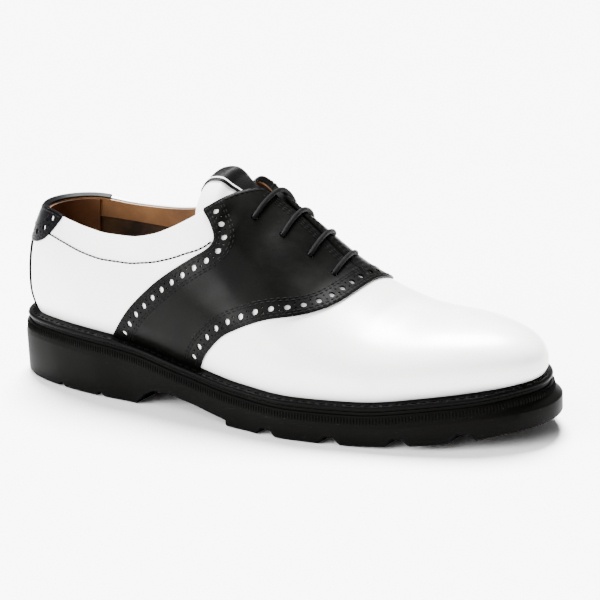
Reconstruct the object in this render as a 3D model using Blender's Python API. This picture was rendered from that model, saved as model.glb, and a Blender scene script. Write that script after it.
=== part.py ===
"""Saddle shoe for the right foot: stitched leather upper on a one-piece lugged rubber sole.

Metres. +X runs to the toe, +Y to the inner side of the foot, +Z up.
The origin lies on the floor under the middle of the heel tread.
Heights and widths of the last come from the tables below, as shares of the named sizes.
"""
import math
import bpy
import bmesh
from mathutils import Vector

# Sizes of the last and of the shoe around it
LAST_LENGTH = 0.300       # heel to toe tip, at the widest line of the upper
BALL_WIDTH = 0.104        # width of the upper across the ball
INSTEP_RISE = 0.0918      # top of the instep above the edge where upper and welt meet
HEEL_HEIGHT = 0.0335      # that edge above the floor, at the heel
BALL_HEIGHT = 0.0200      # that edge above the floor, at the ball
TOE_SPRING = 0.0085       # the toe tip's tread above the floor
HEEL_CENTRE = 0.0355      # from the last's back to the middle of the heel tread
TOE_SWING = 0.0060        # how far the toe tip leans to the inner side
RIDGE_LEAN = 0.0100       # how far the instep's ridge leans to the inner side
BELLY = 0.0140            # widest line of the upper above its lower edge
TUCK = 0.0090             # how far the upper tucks in below that line

# Walls and thicknesses
WALL = 0.0020             # upper, leather and lining together
SADDLE_THICK = 0.0012
TAB_THICK = 0.0012
TONGUE_THICK = 0.0030
LABEL_THICK = 0.0008
WELT_THICK = 0.0031
INSOLE_THICK = 0.0055
GAP = 0.0003              # between pieces that lie on each other
OVERLAY_GAP = 0.0005      # between the upper and the leather laid over its bends

# Sole
SOLE_REACH = 0.0080       # sole's side beyond the upper's lower edge
WELT_SETBACK = 0.0016     # welt's bead behind the sole's side
SIDE_EDGE = 0.0016        # rounded lower corner of the sole's side
RIB_STEP = 0.0009         # step back from the plain side to the ribbed band
RIB_HEIGHT = 0.0050       # ribbed band
GROOVE_DEPTH = 0.0030     # groove between sole and welt
GROOVE_HEIGHT = 0.0016
ARCH_HEIGHT = 0.0100      # floor to the sole's bottom in front of the heel
TREAD_STEP = 0.0035       # step at the back of the front tread
LUG_DEPTH = 0.0040        # notches between the lugs
LUG_RUN = 0.0170          # how far the notches run in from the side
LUG_WIDE = 0.0120         # a notch at the floor
LUG_NARROW = 0.0055       # the same notch at its top
HEEL_LUG_DEPTH = 0.0025
HEEL_LUG_WIDE = 0.0060

# Throat, laces, tongue and trim
EYELET_RADIUS = 0.0022
EYELET_REACH = 0.0200     # eyelets from the ridge, along the leather
SLIT_HALF = 0.0012        # half the open slit between the facings
LACE_RADIUS = 0.00125
TONGUE_HALF = 0.0480      # half the tongue's width at its top, along the leather over it
TONGUE_ARCH = 0.0046      # how far it stands up behind the facings
LABEL_HALF = 0.0125
STRIP_HALF = 0.0045       # half the strip down the back seam

TAIL_INSET = 0.0060       # the lace's tail, from the eyelets towards the slit
LACE_PLAY = 0.0009        # lace clear of leather, above and below
LACE_LIFT = OVERLAY_GAP + SADDLE_THICK + LACE_PLAY + LACE_RADIUS
UNDER_LIFT = -WALL - LACE_PLAY - LACE_RADIUS
TONGUE_LIFT = UNDER_LIFT - LACE_RADIUS - LACE_PLAY

# The last, a row per section: place along the length, half widths as shares of the ball
# width, height of the lower edge above the ball (seat of the heel rise, spring of the toe
# spring), ridge as a share of the instep rise, belly and tucks, and how round the section is.
LAST_COLUMNS = ("share", "lateral", "medial", "seat", "spring", "ridge", "belly",
                "tuck_lateral", "tuck_medial", "crown", "flank")
LAST = (
    (0.00, 0.655, 0.615, 1.00, 0.00, 0.812, 1.00, 0.33, 0.33, 0.80, 1.00),
    (0.10, 0.525, 0.490, 1.04, 0.00, 0.828, 1.00, 0.33, 0.39, 0.85, 1.00),
    (0.20, 0.470, 0.400, 0.98, 0.00, 0.848, 1.00, 0.39, 0.67, 0.87, 1.00),
    (0.31, 0.425, 0.340, 0.78, 0.00, 0.910, 1.00, 0.39, 1.00, 0.92, 1.00),
    (0.42, 0.435, 0.345, 0.385, 0.00, 1.000, 1.00, 0.33, 1.00, 1.05, 1.00),
    (0.53, 0.480, 0.410, 0.095, 0.00, 0.808, 1.00, 0.28, 0.67, 1.18, 0.98),
    (0.64, 0.525, 0.480, 0.00, 0.00, 0.549, 0.86, 0.24, 0.33, 1.15, 0.94),
    (0.75, 0.525, 0.560, 0.00, 0.06, 0.378, 0.64, 0.22, 0.22, 1.00, 0.90),
    (0.86, 0.520, 0.600, 0.00, 0.49, 0.312, 0.50, 0.22, 0.22, 0.85, 0.82),
    (1.00, 0.515, 0.590, 0.00, 1.12, 0.256, 0.36, 0.22, 0.22, 0.80, 0.76),
)
STATION_STEP = 0.006      # how far apart the surface is felt for its slope
GIRTH_STEP = 0.03
HEEL_FAN = 0.16           # sections fan out around these shares at heel and toe
TOE_FAN = 0.83
FAN_SOFT = 0.03

# Tread and side of the sole
SPRING = ((0.00, 0.00), (0.70, 0.00), (0.80, 0.14), (0.90, 0.47), (1.00, 1.00))
REACH = ((0.00, 0.94), (0.30, 1.06), (0.60, 0.98), (0.85, 1.05), (1.00, 1.19))
ARCH = (                  # share of the length, share of the arch height
    (0.318, 0.00), (0.338, 0.55), (0.362, 0.92), (0.385, 1.00), (0.44, 0.78),
    (0.50, 0.54), (0.552, 0.35),
)
FRONT_LUGS = (0.615, 0.695, 0.785, 0.868)
HEEL_LUGS = (0.095, 0.205)

# Lines drawn on the upper: share of the length, girth from the ridge (0) to the lower edge (1)
COLLAR_LATERAL = (
    (0.00, 0.435), (0.08, 0.405), (0.13, 0.418), (0.185, 0.446), (0.237, 0.470),
    (0.285, 0.474), (0.331, 0.452), (0.366, 0.412), (0.401, 0.352), (0.425, 0.292),
    (0.443, 0.225), (0.460, 0.145), (0.478, 0.050),
)
COLLAR_MEDIAL = (
    (0.00, 0.435), (0.08, 0.412), (0.14, 0.418), (0.206, 0.412), (0.268, 0.388),
    (0.34, 0.320), (0.40, 0.225), (0.445, 0.110), (0.478, 0.050),
)
GIRTH_TO_LENGTH = 0.35    # half the girth against the length, for spacing points
CORNER = 0.478            # top corner of the facings
BASE = 0.664              # foot of the throat
SLIT = ((0.478, 4.60), (0.51, 1.90), (0.56, 1.00), (0.664, 0.60))
EYELETS = ((0.495, 1.20), (0.543, 1.03), (0.589, 0.89), (0.632, 0.81))
SADDLE_REAR = (
    (0.245, 1.000), (0.259, 0.946), (0.287, 0.842), (0.306, 0.783), (0.345, 0.683),
    (0.376, 0.617), (0.422, 0.525), (0.446, 0.465), (0.453, 0.410), (0.443, 0.350),
)
SADDLE_CORNER = (0.427, 0.405)    # where that edge meets the collar, outer and inner side
SADDLE_FRONT = (
    (0.440, 1.000), (0.458, 0.925), (0.479, 0.854), (0.505, 0.779), (0.547, 0.696),
    (0.578, 0.633), (0.619, 0.562), (0.648, 0.490), (0.670, 0.410), (0.684, 0.330),
    (0.692, 0.250), (0.697, 0.170), (0.699, 0.085), (0.700, 0.000),
)
TAB_END = 0.108
TAB_EDGE = ((0.000, 0.630), (0.064, 0.600), (0.095, 0.545), (0.108, 0.470))
TONGUE_TOP = 0.362        # the tongue's end, at the ridge
TONGUE_ROUND = 0.040      # how far its corners fall back from there
TONGUE_FOOT = 0.700
TONGUE_WIDTH = (
    (0.362, 0.88), (0.39, 1.00), (0.42, 1.00), (0.478, 0.78), (0.56, 0.64), (0.70, 0.50),
)
TONGUE_RISE = (           # share of the length from its end, how far it arches up there
    (0.000, -0.70), (0.012, 0.10), (0.030, 0.85), (0.048, 1.00), (0.072, 0.35), (0.10, 0.00),
)
LABEL_ROWS = 6            # rows of the tongue under the ribbon, and above its folded end
LABEL_TURN_ROWS = 2


def curve(rows, at, column=1):
    """Smooth, never overshooting line through the rows of a table."""
    xs = [row[0] for row in rows]
    ys = [row[column] for row in rows]
    at = min(max(at, xs[0]), xs[-1])
    steps = [b - a for a, b in zip(xs, xs[1:])]
    rises = [(b - a) / h for a, b, h in zip(ys, ys[1:], steps)]
    slopes = [rises[0]]
    for h0, h1, d0, d1 in zip(steps, steps[1:], rises, rises[1:]):
        if d0 * d1 > 0:
            w0 = 2 * h1 + h0
            w1 = h1 + 2 * h0
            slopes.append((w0 + w1) / (w0 / d0 + w1 / d1))
        else:
            slopes.append(0.0)
    slopes.append(rises[-1])
    k = 0
    while k < len(steps) - 1 and at > xs[k + 1]:
        k += 1
    h = steps[k]
    t = (at - xs[k]) / h
    return ((2 * t**3 - 3 * t**2 + 1) * ys[k] + (t**3 - 2 * t**2 + t) * h * slopes[k]
            + (3 * t**2 - 2 * t**3) * ys[k + 1] + (t**3 - t**2) * h * slopes[k + 1])


def last(name, share):
    return curve(LAST, share, LAST_COLUMNS.index(name))


def share_of(station):
    """Share of the length at a station; stations crowd at the heel (0) and the toe (1)."""
    return (1 - math.cos(math.pi * station)) / 2


def station_of(share):
    return math.acos(1 - 2 * share) / math.pi


def feather(share):
    """Height of the line where upper and welt meet."""
    rise = last("seat", share) * (HEEL_HEIGHT - BALL_HEIGHT)
    return BALL_HEIGHT + rise + last("spring", share) * TOE_SPRING


def sided(name, side):
    return name + "_lateral" if side < 0 else name + "_medial"


def widest(station, side):
    """The upper's widest line, seen from above."""
    share = share_of(station)
    half = last("lateral" if side < 0 else "medial", share) * BALL_WIDTH
    half *= 2 * math.sqrt(max(share * (1 - share), 0))
    return share * LAST_LENGTH - HEEL_CENTRE, side * half + TOE_SWING * share**2


def spine(station):
    """Middle line that the sections hang from; it stops short of heel and toe."""
    share = share_of(station)
    low = HEEL_FAN + FAN_SOFT * math.log1p(math.exp((share - HEEL_FAN) / FAN_SOFT))
    share = TOE_FAN - FAN_SOFT * math.log1p(math.exp((TOE_FAN - low) / FAN_SOFT))
    lean = math.sin(math.pi * min(max((share - 0.1) / 0.9, 0), 1))
    return share * LAST_LENGTH - HEEL_CENTRE, TOE_SWING * share**2 + RIDGE_LEAN * lean, share


PROFILES = {}


def profile(station, side):
    """Half section from the ridge to the lower edge, with its running length."""
    key = (round(station, 7), side)
    if key in PROFILES:
        return PROFILES[key]
    share = share_of(station)
    wide_x, wide_y = widest(station, side)
    mid_x, mid_y, mid = spine(station)
    reach = math.hypot(wide_x - mid_x, wide_y - mid_y)
    way_x = (wide_x - mid_x) / reach
    way_y = (wide_y - mid_y) / reach
    low = feather(share)
    belly = low + last("belly", share) * BELLY
    top = feather(mid) + last("ridge", mid) * INSTEP_RISE
    tuck = last(sided("tuck", side), share) * TUCK
    crown = last("crown", share)
    flank = last("flank", share)
    points = []
    for k in range(49):
        angle = math.pi / 2 * (1 - k / 48)
        out = reach * max(math.cos(angle), 0)**crown if k else 0.0
        points.append((out, belly + (top - belly) * math.sin(angle)**flank))
    for k in range(1, 13):
        t = k / 12
        points.append((reach - tuck * t * t, belly - (belly - low) * t))
    points = [Vector((mid_x + way_x * out, mid_y + way_y * out, z)) for out, z in points]
    run = [0.0]
    for a, b in zip(points, points[1:]):
        run.append(run[-1] + (b - a).length)
    PROFILES[key] = (points, run)
    return PROFILES[key]


def girth_length(station, side):
    return profile(station, side)[1][-1]


def on_last(station, girth):
    """Point of the last; girth is negative on the outer side, positive on the inner side."""
    if station < 0:
        station, girth = -station, -girth
    if station > 1:
        station, girth = 2 - station, -girth
    side = -1 if girth < 0 else 1
    points, run = profile(station, side)
    goal = min(abs(girth), 1) * run[-1]
    low, high = 0, len(run) - 1
    while high - low > 1:
        middle = (low + high) // 2
        if run[middle] <= goal:
            low = middle
        else:
            high = middle
    return points[low].lerp(points[high], (goal - run[low]) / (run[high] - run[low]))


def skin(station, girth, lift=0.0):
    """Point of the upper's outer face, lifted off it along the surface's own normal."""
    point = on_last(station, girth)
    if lift == 0:
        return point
    along = (on_last(station + STATION_STEP, girth)
             - on_last(station - STATION_STEP, girth))
    around = (on_last(station, min(girth + GIRTH_STEP, 1))
              - on_last(station, max(girth - GIRTH_STEP, -1)))
    normal = along.cross(around)
    if abs(girth) >= 1:
        normal.z = 0            # every layer ends level, on the welt
    return point + normal.normalized() * lift


def outline(station, side, out):
    """Point beside the upper's lower edge, at a distance outwards from it."""
    def edge(at):
        flip = 1
        if at < 0:
            at, flip = -at, -1
        if at > 1:
            at, flip = 2 - at, -1
        return on_last(at, side * flip).xy
    way = (edge(station + STATION_STEP) - edge(station - STATION_STEP)).normalized()
    beside = Vector((-way.y, way.x)) * side
    return edge(station) + beside * out


def top_girth(share, side):
    """Girth of the upper's top edge: collar, then slit, then the closed vamp."""
    if share < CORNER:
        return curve(COLLAR_LATERAL if side < 0 else COLLAR_MEDIAL, share)
    if share < BASE:
        return curve(SLIT, share) * SLIT_HALF / girth_length(station_of(share), side)
    return 0.0


def stations(*stops):
    """Stations spread evenly between named shares: share, number of steps, share, ..."""
    found = [station_of(stops[0])]
    for k in range(1, len(stops), 2):
        first, last_one = found[-1], station_of(stops[k + 1])
        found += [first + (last_one - first) * n / stops[k] for n in range(1, stops[k] + 1)]
    return found


def shell_stations():
    """Columns shared by upper, welt and insole, so that their facets run side by side."""
    return stations(0.0, 18, CORNER, 7, BASE, 13, 1.0)


MADE = bpy.data.collections.new("saddle_shoe")
CUTTERS = bpy.data.collections.new("cutters")


def material(name, colour, roughness):
    made = bpy.data.materials.new(name)
    made.use_nodes = True
    shader = made.node_tree.nodes["Principled BSDF"]
    shader.inputs["Base Color"].default_value = (*colour, 1)
    shader.inputs["Roughness"].default_value = roughness
    return made


def finish(name, mesh_maker, slot, collection=None):
    """Object from a bmesh, doubles welded, faces turned outwards."""
    bmesh.ops.remove_doubles(mesh_maker, verts=mesh_maker.verts, dist=0.00001)
    bmesh.ops.recalc_face_normals(mesh_maker, faces=mesh_maker.faces)
    mesh = bpy.data.meshes.new(name)
    mesh_maker.to_mesh(mesh)
    mesh_maker.free()
    if mesh.polygons and signed_volume(mesh) < 0:
        mesh.flip_normals()
    made = bpy.data.objects.new(name, mesh)
    (collection or MADE).objects.link(made)
    if slot:
        made.data.materials.append(slot)
        for face in made.data.polygons:
            face.use_smooth = True
    return made


def signed_volume(mesh):
    total = 0.0
    for face in mesh.polygons:
        corners = [mesh.vertices[k].co for k in face.vertices]
        for b, c in zip(corners[1:], corners[2:]):
            total += corners[0].dot(b.cross(c)) / 6
    return total


def sheet(name, outer, inner, slot, keep=None, ring=False, collection=None):
    """Closed solid between two grids of points; keep(row, column) picks the cells."""
    rows, columns = len(outer), len(outer[0])
    maker = bmesh.new()
    skins = [[[maker.verts.new(p) for p in line] for line in face] for face in (outer, inner)]
    last_column = columns if ring else columns - 1
    cells = {(i, j % columns) for i in range(rows - 1) for j in range(last_column)
             if keep is None or keep(i, j)}
    walls = {}
    for i, j in cells:
        after = (j + 1) % columns
        corners = ((i, j), (i + 1, j), (i + 1, after), (i, after))
        for side_of in (0, 1):
            maker.faces.new([skins[side_of][a][b] for a, b in corners])
        for a, b in zip(corners, corners[1:] + corners[:1]):
            key = frozenset((a, b))
            walls[key] = None if key in walls else (a, b)
    rims = {}
    for pair in walls.values():
        if pair:
            ends = frozenset(tuple(round(c, 6) for c in skins[0][a][b].co) for a, b in pair)
            rims.setdefault(ends, []).append(pair)
    for ends, pairs in rims.items():
        if len(ends) == 2 and len(pairs) == 1:    # two rims that meet are welded, not walled
            (a, b), (c, d) = pairs[0]
            maker.faces.new((skins[0][a][b], skins[0][c][d], skins[1][c][d], skins[1][a][b]))
    return finish(name, maker, slot, collection)


def loft_round(name, at, sections, slot, capped):
    """Solid from loops around the shoe; capped closes the first and the last across."""
    maker = bmesh.new()
    loops = []
    for section in sections:
        left = [maker.verts.new(section(station, -1)) for station in at]
        right = [maker.verts.new(section(station, 1)) for station in at[1:-1]]
        loops.append(left + right[::-1])
    count = len(loops[0])
    pairs = list(zip(loops, loops[1:]))
    if not capped:
        pairs.append((loops[-1], loops[0]))
    for low, high in pairs:
        for j in range(count):
            after = (j + 1) % count
            maker.faces.new((low[j], low[after], high[after], high[j]))
    if capped:
        for loop in (loops[0], loops[-1]):
            half = len(at) - 1
            for j in range(half):
                corners = [loop[j], loop[j + 1], loop[(-j - 1) % count], loop[(-j) % count]]
                maker.faces.new(list(dict.fromkeys(corners)))
    return finish(name, maker, slot)


def prism(name, corners, half_width, middle):
    """Cutter: a polygon in X and Z, drawn out to both sides in Y."""
    maker = bmesh.new()
    ends = [[maker.verts.new((x, middle + y, z)) for x, z in corners]
            for y in (-half_width, half_width)]
    maker.faces.new(ends[0])
    maker.faces.new(ends[1])
    for a in range(len(corners)):
        b = (a + 1) % len(corners)
        maker.faces.new((ends[0][a], ends[0][b], ends[1][b], ends[1][a]))
    return cutter(finish(name, maker, None, CUTTERS))


def cutter(made):
    made.hide_render = True
    made.display_type = "WIRE"
    return made


def cut(target, tools):
    """Take the cutters out of the target, one after the other."""
    for tool in tools:
        bpy.context.view_layer.objects.active = target
        step = target.modifiers.new(tool.name, "BOOLEAN")
        step.operation = "DIFFERENCE"
        step.solver = "EXACT"
        step.object = tool
        bpy.ops.object.modifier_apply(modifier=step.name)


def sole_side(share):
    return curve(REACH, share) * SOLE_REACH


def sole_bottom(share):
    return curve(SPRING, share) * TOE_SPRING


def sole_top(share):
    return feather(share) - WELT_THICK - GAP


def side_loop(setback, height):
    """Loop around the sole: distance behind its side, height from bottom and top."""
    def place(station, side):
        share = share_of(station)
        spot = outline(station, side, sole_side(share) - setback)
        return (*spot, height(sole_bottom(share), sole_top(share)))
    return place


def make_outsole(slot):
    at = stations(0.0, 15, 0.42, 20, 1.0)
    band = RIB_HEIGHT + GROOVE_HEIGHT
    made = loft_round("outsole", at, (
        side_loop(SIDE_EDGE, lambda bottom, top: bottom),
        side_loop(SIDE_EDGE * 0.3, lambda bottom, top: bottom + SIDE_EDGE * 0.7),
        side_loop(0.0, lambda bottom, top: bottom + SIDE_EDGE * 2),
        side_loop(0.0, lambda bottom, top: top - band - RIB_STEP),
        side_loop(RIB_STEP, lambda bottom, top: top - band),
        side_loop(RIB_STEP, lambda bottom, top: top - GROOVE_HEIGHT - RIB_STEP),
        side_loop(RIB_STEP * 2, lambda bottom, top: top - GROOVE_HEIGHT),
        side_loop(GROOVE_DEPTH, lambda bottom, top: top - GROOVE_HEIGHT),
        side_loop(GROOVE_DEPTH, lambda bottom, top: top),
    ), slot, True)
    cut(made, sole_cutters())
    return made


def sole_cutters():
    along = LAST_LENGTH
    tools = []
    arch = [(share * along - HEEL_CENTRE, rise * ARCH_HEIGHT) for share, rise in ARCH]
    front = arch[-1][0]
    arch += [(front, -ARCH_HEIGHT), (arch[0][0], -ARCH_HEIGHT)]
    tools.append(prism("arch_cutter", arch, BALL_WIDTH, 0))
    notches = [(share, LUG_DEPTH, LUG_WIDE, LUG_NARROW) for share in FRONT_LUGS]
    heel_narrow = HEEL_LUG_WIDE * LUG_NARROW / LUG_WIDE
    notches += [(share, HEEL_LUG_DEPTH, HEEL_LUG_WIDE, heel_narrow) for share in HEEL_LUGS]
    for number, (share, depth, wide, narrow) in enumerate(notches):
        station = station_of(share)
        x = share * along - HEEL_CENTRE
        floor = sole_bottom(share)
        slope = (wide - narrow) / 2 / depth
        corners = ((x - wide / 2 - slope * depth, floor - depth), (x - narrow / 2, floor + depth),
                   (x + narrow / 2, floor + depth), (x + wide / 2 + slope * depth, floor - depth))
        for side in (-1, 1):
            edge = outline(station, side, sole_side(share)).y
            name = f"notch_{number}_{'outer' if side < 0 else 'inner'}"
            tools.append(prism(name, corners, LUG_RUN, edge))
    return tools


def make_welt(slot):
    at = shell_stations()

    def place(from_side, from_feather, z):
        def spot(station, side):
            share = share_of(station)
            out = sole_side(share) - from_side if from_side is not None else from_feather
            return (*outline(station, side, out), feather(share) - GAP + z)
        return spot

    bead = WELT_THICK - GAP
    return loft_round("welt", at, (
        place(None, -WALL, -bead),
        place(WELT_SETBACK * 1.6, 0, -bead),
        place(WELT_SETBACK, 0, -bead * 0.7),
        place(WELT_SETBACK, 0, -bead * 0.3),
        place(WELT_SETBACK * 1.6, 0, 0),
        place(None, -WALL, 0),
    ), slot, False)


def make_insole(slot):
    at = shell_stations()
    inside = -WALL - GAP

    def place(setback, height):
        def spot(station, side):
            low = sole_top(share_of(station)) + GAP
            return (*outline(station, side, inside - setback), low + height)
        return spot

    soft = INSOLE_THICK * 0.2
    return loft_round("insole", at, (
        place(0, 0),
        place(0, INSOLE_THICK - soft),
        place(soft, INSOLE_THICK),
    ), slot, True)


def eyelet_girth(share, reach, side):
    return side * reach * EYELET_REACH / girth_length(station_of(share), side)


def eyelet_cutters():
    tools = []
    for number, (share, reach) in enumerate(EYELETS):
        station = station_of(share)
        for side in (-1, 1):
            girth = eyelet_girth(share, reach, side)
            inner = skin(station, girth, -WALL * 2)
            outer = skin(station, girth, WALL * 2)
            bpy.ops.mesh.primitive_cylinder_add(
                vertices=12, radius=EYELET_RADIUS, depth=(outer - inner).length,
                location=(inner + outer) / 2)
            made = bpy.context.object
            made.name = f"eyelet_{number}_{'outer' if side < 0 else 'inner'}"
            made.rotation_euler = (outer - inner).to_track_quat("Z", "Y").to_euler()
            for home in list(made.users_collection):
                home.objects.unlink(made)
            CUTTERS.objects.link(made)
            bpy.context.view_layer.update()
            tools.append(cutter(made))
    return tools


def around_shoe(at):
    """Columns all round: outer side from toe to heel, inner side from heel to toe."""
    return [(station, -1) for station in at[::-1]] + [(station, 1) for station in at[1:-1]]


def make_upper(slot, tools):
    at = shell_stations()
    rows = (0.0, 0.07, 0.16, 0.28, 0.42, 0.56, 0.69, 0.80, 0.90, 1.0)
    around = around_shoe(at)

    def grid(lift):
        lines = []
        for down in rows:
            line = []
            for station, side in around:
                top = top_girth(share_of(station) + 1e-9, side)
                girth = top + (1 - top) * down
                point = skin(station, side * girth, lift)
                if girth == 0 and lift:
                    point = ridge_point(station, lift)
                line.append(point)
            lines.append(line)
        return lines

    made = sheet("upper", grid(0.0), grid(-WALL), slot, ring=True)
    cut(made, tools)
    return made


def ridge_point(station, lift):
    """The ridge belongs to both sides, so both get the same lifted point."""
    return (skin(station, 1e-6, lift) + skin(station, -1e-6, lift)) / 2


def along_rows(rows, count):
    """Points spread evenly along a drawn line; its rows are share and girth."""
    points = [Vector((share, girth * GIRTH_TO_LENGTH)) for share, girth in rows]
    run = [0.0]
    for a, b in zip(points, points[1:]):
        run.append(run[-1] + (b - a).length)
    found = []
    for n in range(count + 1):
        goal = run[-1] * n / count
        k = 0
        while k < len(run) - 2 and goal > run[k + 1]:
            k += 1
        t = (goal - run[k]) / (run[k + 1] - run[k])
        found.append((rows[k][0] + (rows[k + 1][0] - rows[k][0]) * t,
                      rows[k][1] + (rows[k + 1][1] - rows[k][1]) * t))
    return found


def saddle_rear(side):
    """The saddle's rear edge, up to the collar and along it to the facing's corner."""
    corner = SADDLE_CORNER[0 if side < 0 else 1]
    shares = [corner + (CORNER - corner) * n / 4 for n in range(5)]
    return SADDLE_REAR + tuple((share, top_girth(share, side)) for share in shares)


def saddle_cell(rear, front, across, side, top_row):
    """Share and girth of a saddle point; the top row follows slit and ridge."""
    share = rear[0] + (front[0] - rear[0]) * across
    girth = rear[1] + (front[1] - rear[1]) * across
    if top_row:
        girth = top_girth(share, side)
    return share, girth


def make_saddle(slot, tools):
    up = 20
    front = along_rows(SADDLE_FRONT, up)
    base = (BASE - CORNER) / (front[-1][0] - CORNER)
    across = [base * n / 8 for n in range(9)] + [1.0]

    def grid(lift):
        lines = []
        for side in (-1, 1):
            rear = along_rows(saddle_rear(side), up)
            order = range(up + 1) if side < 0 else range(up, -1, -1)
            for k in order:
                line = []
                for share_across in across:
                    share, girth = saddle_cell(rear[k], front[k], share_across, side, k == up)
                    station = station_of(share)
                    if girth == 0:
                        line.append(ridge_point(station, lift))
                    else:
                        line.append(skin(station, side * girth, lift))
                lines.append(line)
        return lines

    made = sheet("saddle", grid(OVERLAY_GAP + SADDLE_THICK), grid(OVERLAY_GAP), slot,
                 keep=lambda i, j: i != up)
    cut(made, tools)
    return made


def make_heel_tab(slot):
    strip = station_of(STRIP_HALF / BALL_WIDTH * 0.05)
    end = station_of(TAB_END)
    side_steps = [strip + (end - strip) * n / 6 for n in range(7)]
    at = [-s for s in side_steps[::-1]] + [0.0] + side_steps
    inside = range(6, 8)
    rows = [n / 3 for n in range(4)] + [1 + n / 5 for n in range(1, 6)]

    def grid(lift):
        lines = []
        for down in rows:
            line = []
            for station in at:
                side = -1 if station < 0 else 1
                share = share_of(abs(station))
                top = top_girth(share, side)
                edge = curve(TAB_EDGE, share)
                if down <= 1:
                    girth = top + (edge - top) * down
                else:
                    girth = edge + (1 - edge) * (down - 1)
                line.append(skin(abs(station), side * girth, lift))
            lines.append(line)
        return lines

    return sheet("heel_tab", grid(OVERLAY_GAP + TAB_THICK), grid(OVERLAY_GAP), slot,
                 keep=lambda i, j: i < 3 or j in inside)


def tongue_spot(down, across, below):
    """Point of the tongue: down runs from its end (0) to its foot (1), across from edge
    to edge (-1 to 1), and below is the distance under its outer face."""
    end = TONGUE_TOP + TONGUE_ROUND * across**2
    station = station_of(end) + (station_of(TONGUE_FOOT) - station_of(end)) * down
    share = share_of(station)
    side = -1 if across < 0 else 1
    girth = across * curve(TONGUE_WIDTH, share) * TONGUE_HALF / girth_length(station, side)
    arch = curve(TONGUE_RISE, share - end) * TONGUE_ARCH * (1 - across**2)
    return skin(station, girth, TONGUE_LIFT + arch - below)


def tongue_rows():
    """Places down the tongue, closer together at its end."""
    return [(n / 14)**1.6 for n in range(15)]


def label_columns():
    """The ribbon's places across the tongue, from edge to edge."""
    down = tongue_rows()[LABEL_ROWS // 2]
    tenth = (tongue_spot(down, 0.1, 0) - tongue_spot(down, 0, 0)).length
    edge = LABEL_HALF * 0.1 / tenth
    return [edge * n / 3 for n in range(-3, 4)]


def make_tongue(slot):
    ribbon = label_columns()
    outer = [ribbon[-1] + (1 - ribbon[-1]) * n / 3 for n in range(1, 4)]
    columns = [-k for k in outer[::-1]] + ribbon + outer

    def grid(below):
        return [[tongue_spot(down, k, below) for k in columns] for down in tongue_rows()]

    return sheet("tongue", grid(0.0), grid(TONGUE_THICK), slot)


def make_label(slot):
    """Ribbon along the top of the tongue, folded down round its end and back beneath it."""
    rows = tongue_rows()

    def path(across, extra):
        points = [tongue_spot(down, across, -GAP - extra) for down in rows[LABEL_ROWS::-1]]
        outer = tongue_spot(0, across, 0)
        inner = tongue_spot(0, across, TONGUE_THICK)
        up = (outer - inner).normalized()
        back = outer - tongue_spot(rows[1], across, 0)
        back = (back - up * back.dot(up)).normalized()
        middle = (outer + inner) / 2 + back * GAP
        radius = TONGUE_THICK / 2 + GAP + extra
        for n in range(7):
            turn = math.pi * n / 6
            points.append(middle + (up * math.cos(turn) + back * math.sin(turn)) * radius)
        for down in rows[1:LABEL_TURN_ROWS + 1]:
            points.append(tongue_spot(down, across, TONGUE_THICK + GAP + extra))
        return points

    def grid(extra):
        return [path(across, extra) for across in label_columns()]

    return sheet("tongue_label", grid(LABEL_THICK), grid(0.0), slot)


def lace_path():
    """One lace: bars over the throat from the top row down, the tail back up inside."""
    points = []

    def spot(share, girth, lift):
        points.append(skin(station_of(share), girth, lift))

    rows = EYELETS
    side = -1
    girth = eyelet_girth(*rows[0], side)
    spot(rows[0][0] + 0.018, girth, UNDER_LIFT)
    spot(rows[0][0] + 0.006, girth, UNDER_LIFT)
    for number, (share, reach) in enumerate(rows):
        here = eyelet_girth(share, reach, side)
        there = eyelet_girth(share, reach, -side)
        spot(share, here, UNDER_LIFT + LACE_RADIUS)
        spot(share, here, 0.0)
        spot(share, here, LACE_LIFT - LACE_RADIUS * 0.6)
        for n in range(1, 10):
            t = n / 10
            spot(share, here + (there - here) * (0.04 + 0.92 * t), LACE_LIFT)
        spot(share, there, LACE_LIFT - LACE_RADIUS * 0.6)
        spot(share, there, 0.0)
        spot(share, there, UNDER_LIFT + LACE_RADIUS)
        side = -side
        if number + 1 < len(rows):
            after = rows[number + 1]
            girth = eyelet_girth(*after, side)
            for t in (0.2, 0.5, 0.8):
                spot(share + (after[0] - share) * t, there + (girth - there) * t, UNDER_LIFT)
    last_share, last_reach = rows[-1]
    for t in (0.08, 0.3, 0.5, 0.7, 0.9, 1.0):
        share = last_share + (rows[0][0] + 0.012 - last_share) * t
        reach = last_reach + (rows[0][1] - last_reach) * t
        girth = eyelet_girth(share, reach, side)
        girth -= side * TAIL_INSET / girth_length(station_of(share), side)
        spot(share, girth, UNDER_LIFT)
    return points


def make_lace(slot):
    points = lace_path()
    data = bpy.data.curves.new("lace_path", "CURVE")
    data.dimensions = "3D"
    data.bevel_depth = LACE_RADIUS
    data.bevel_resolution = 2
    data.use_fill_caps = True
    line = data.splines.new("POLY")
    line.points.add(len(points) - 1)
    for spot, point in zip(line.points, points):
        spot.co = (*point, 1)
    rope = bpy.data.objects.new("lace_path", data)
    bpy.context.scene.collection.objects.link(rope)
    bpy.context.view_layer.update()
    shape = rope.evaluated_get(bpy.context.evaluated_depsgraph_get())
    mesh = bpy.data.meshes.new_from_object(shape)
    bpy.data.objects.remove(rope)
    maker = bmesh.new()
    maker.from_mesh(mesh)
    return finish("lace", maker, slot)


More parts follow.
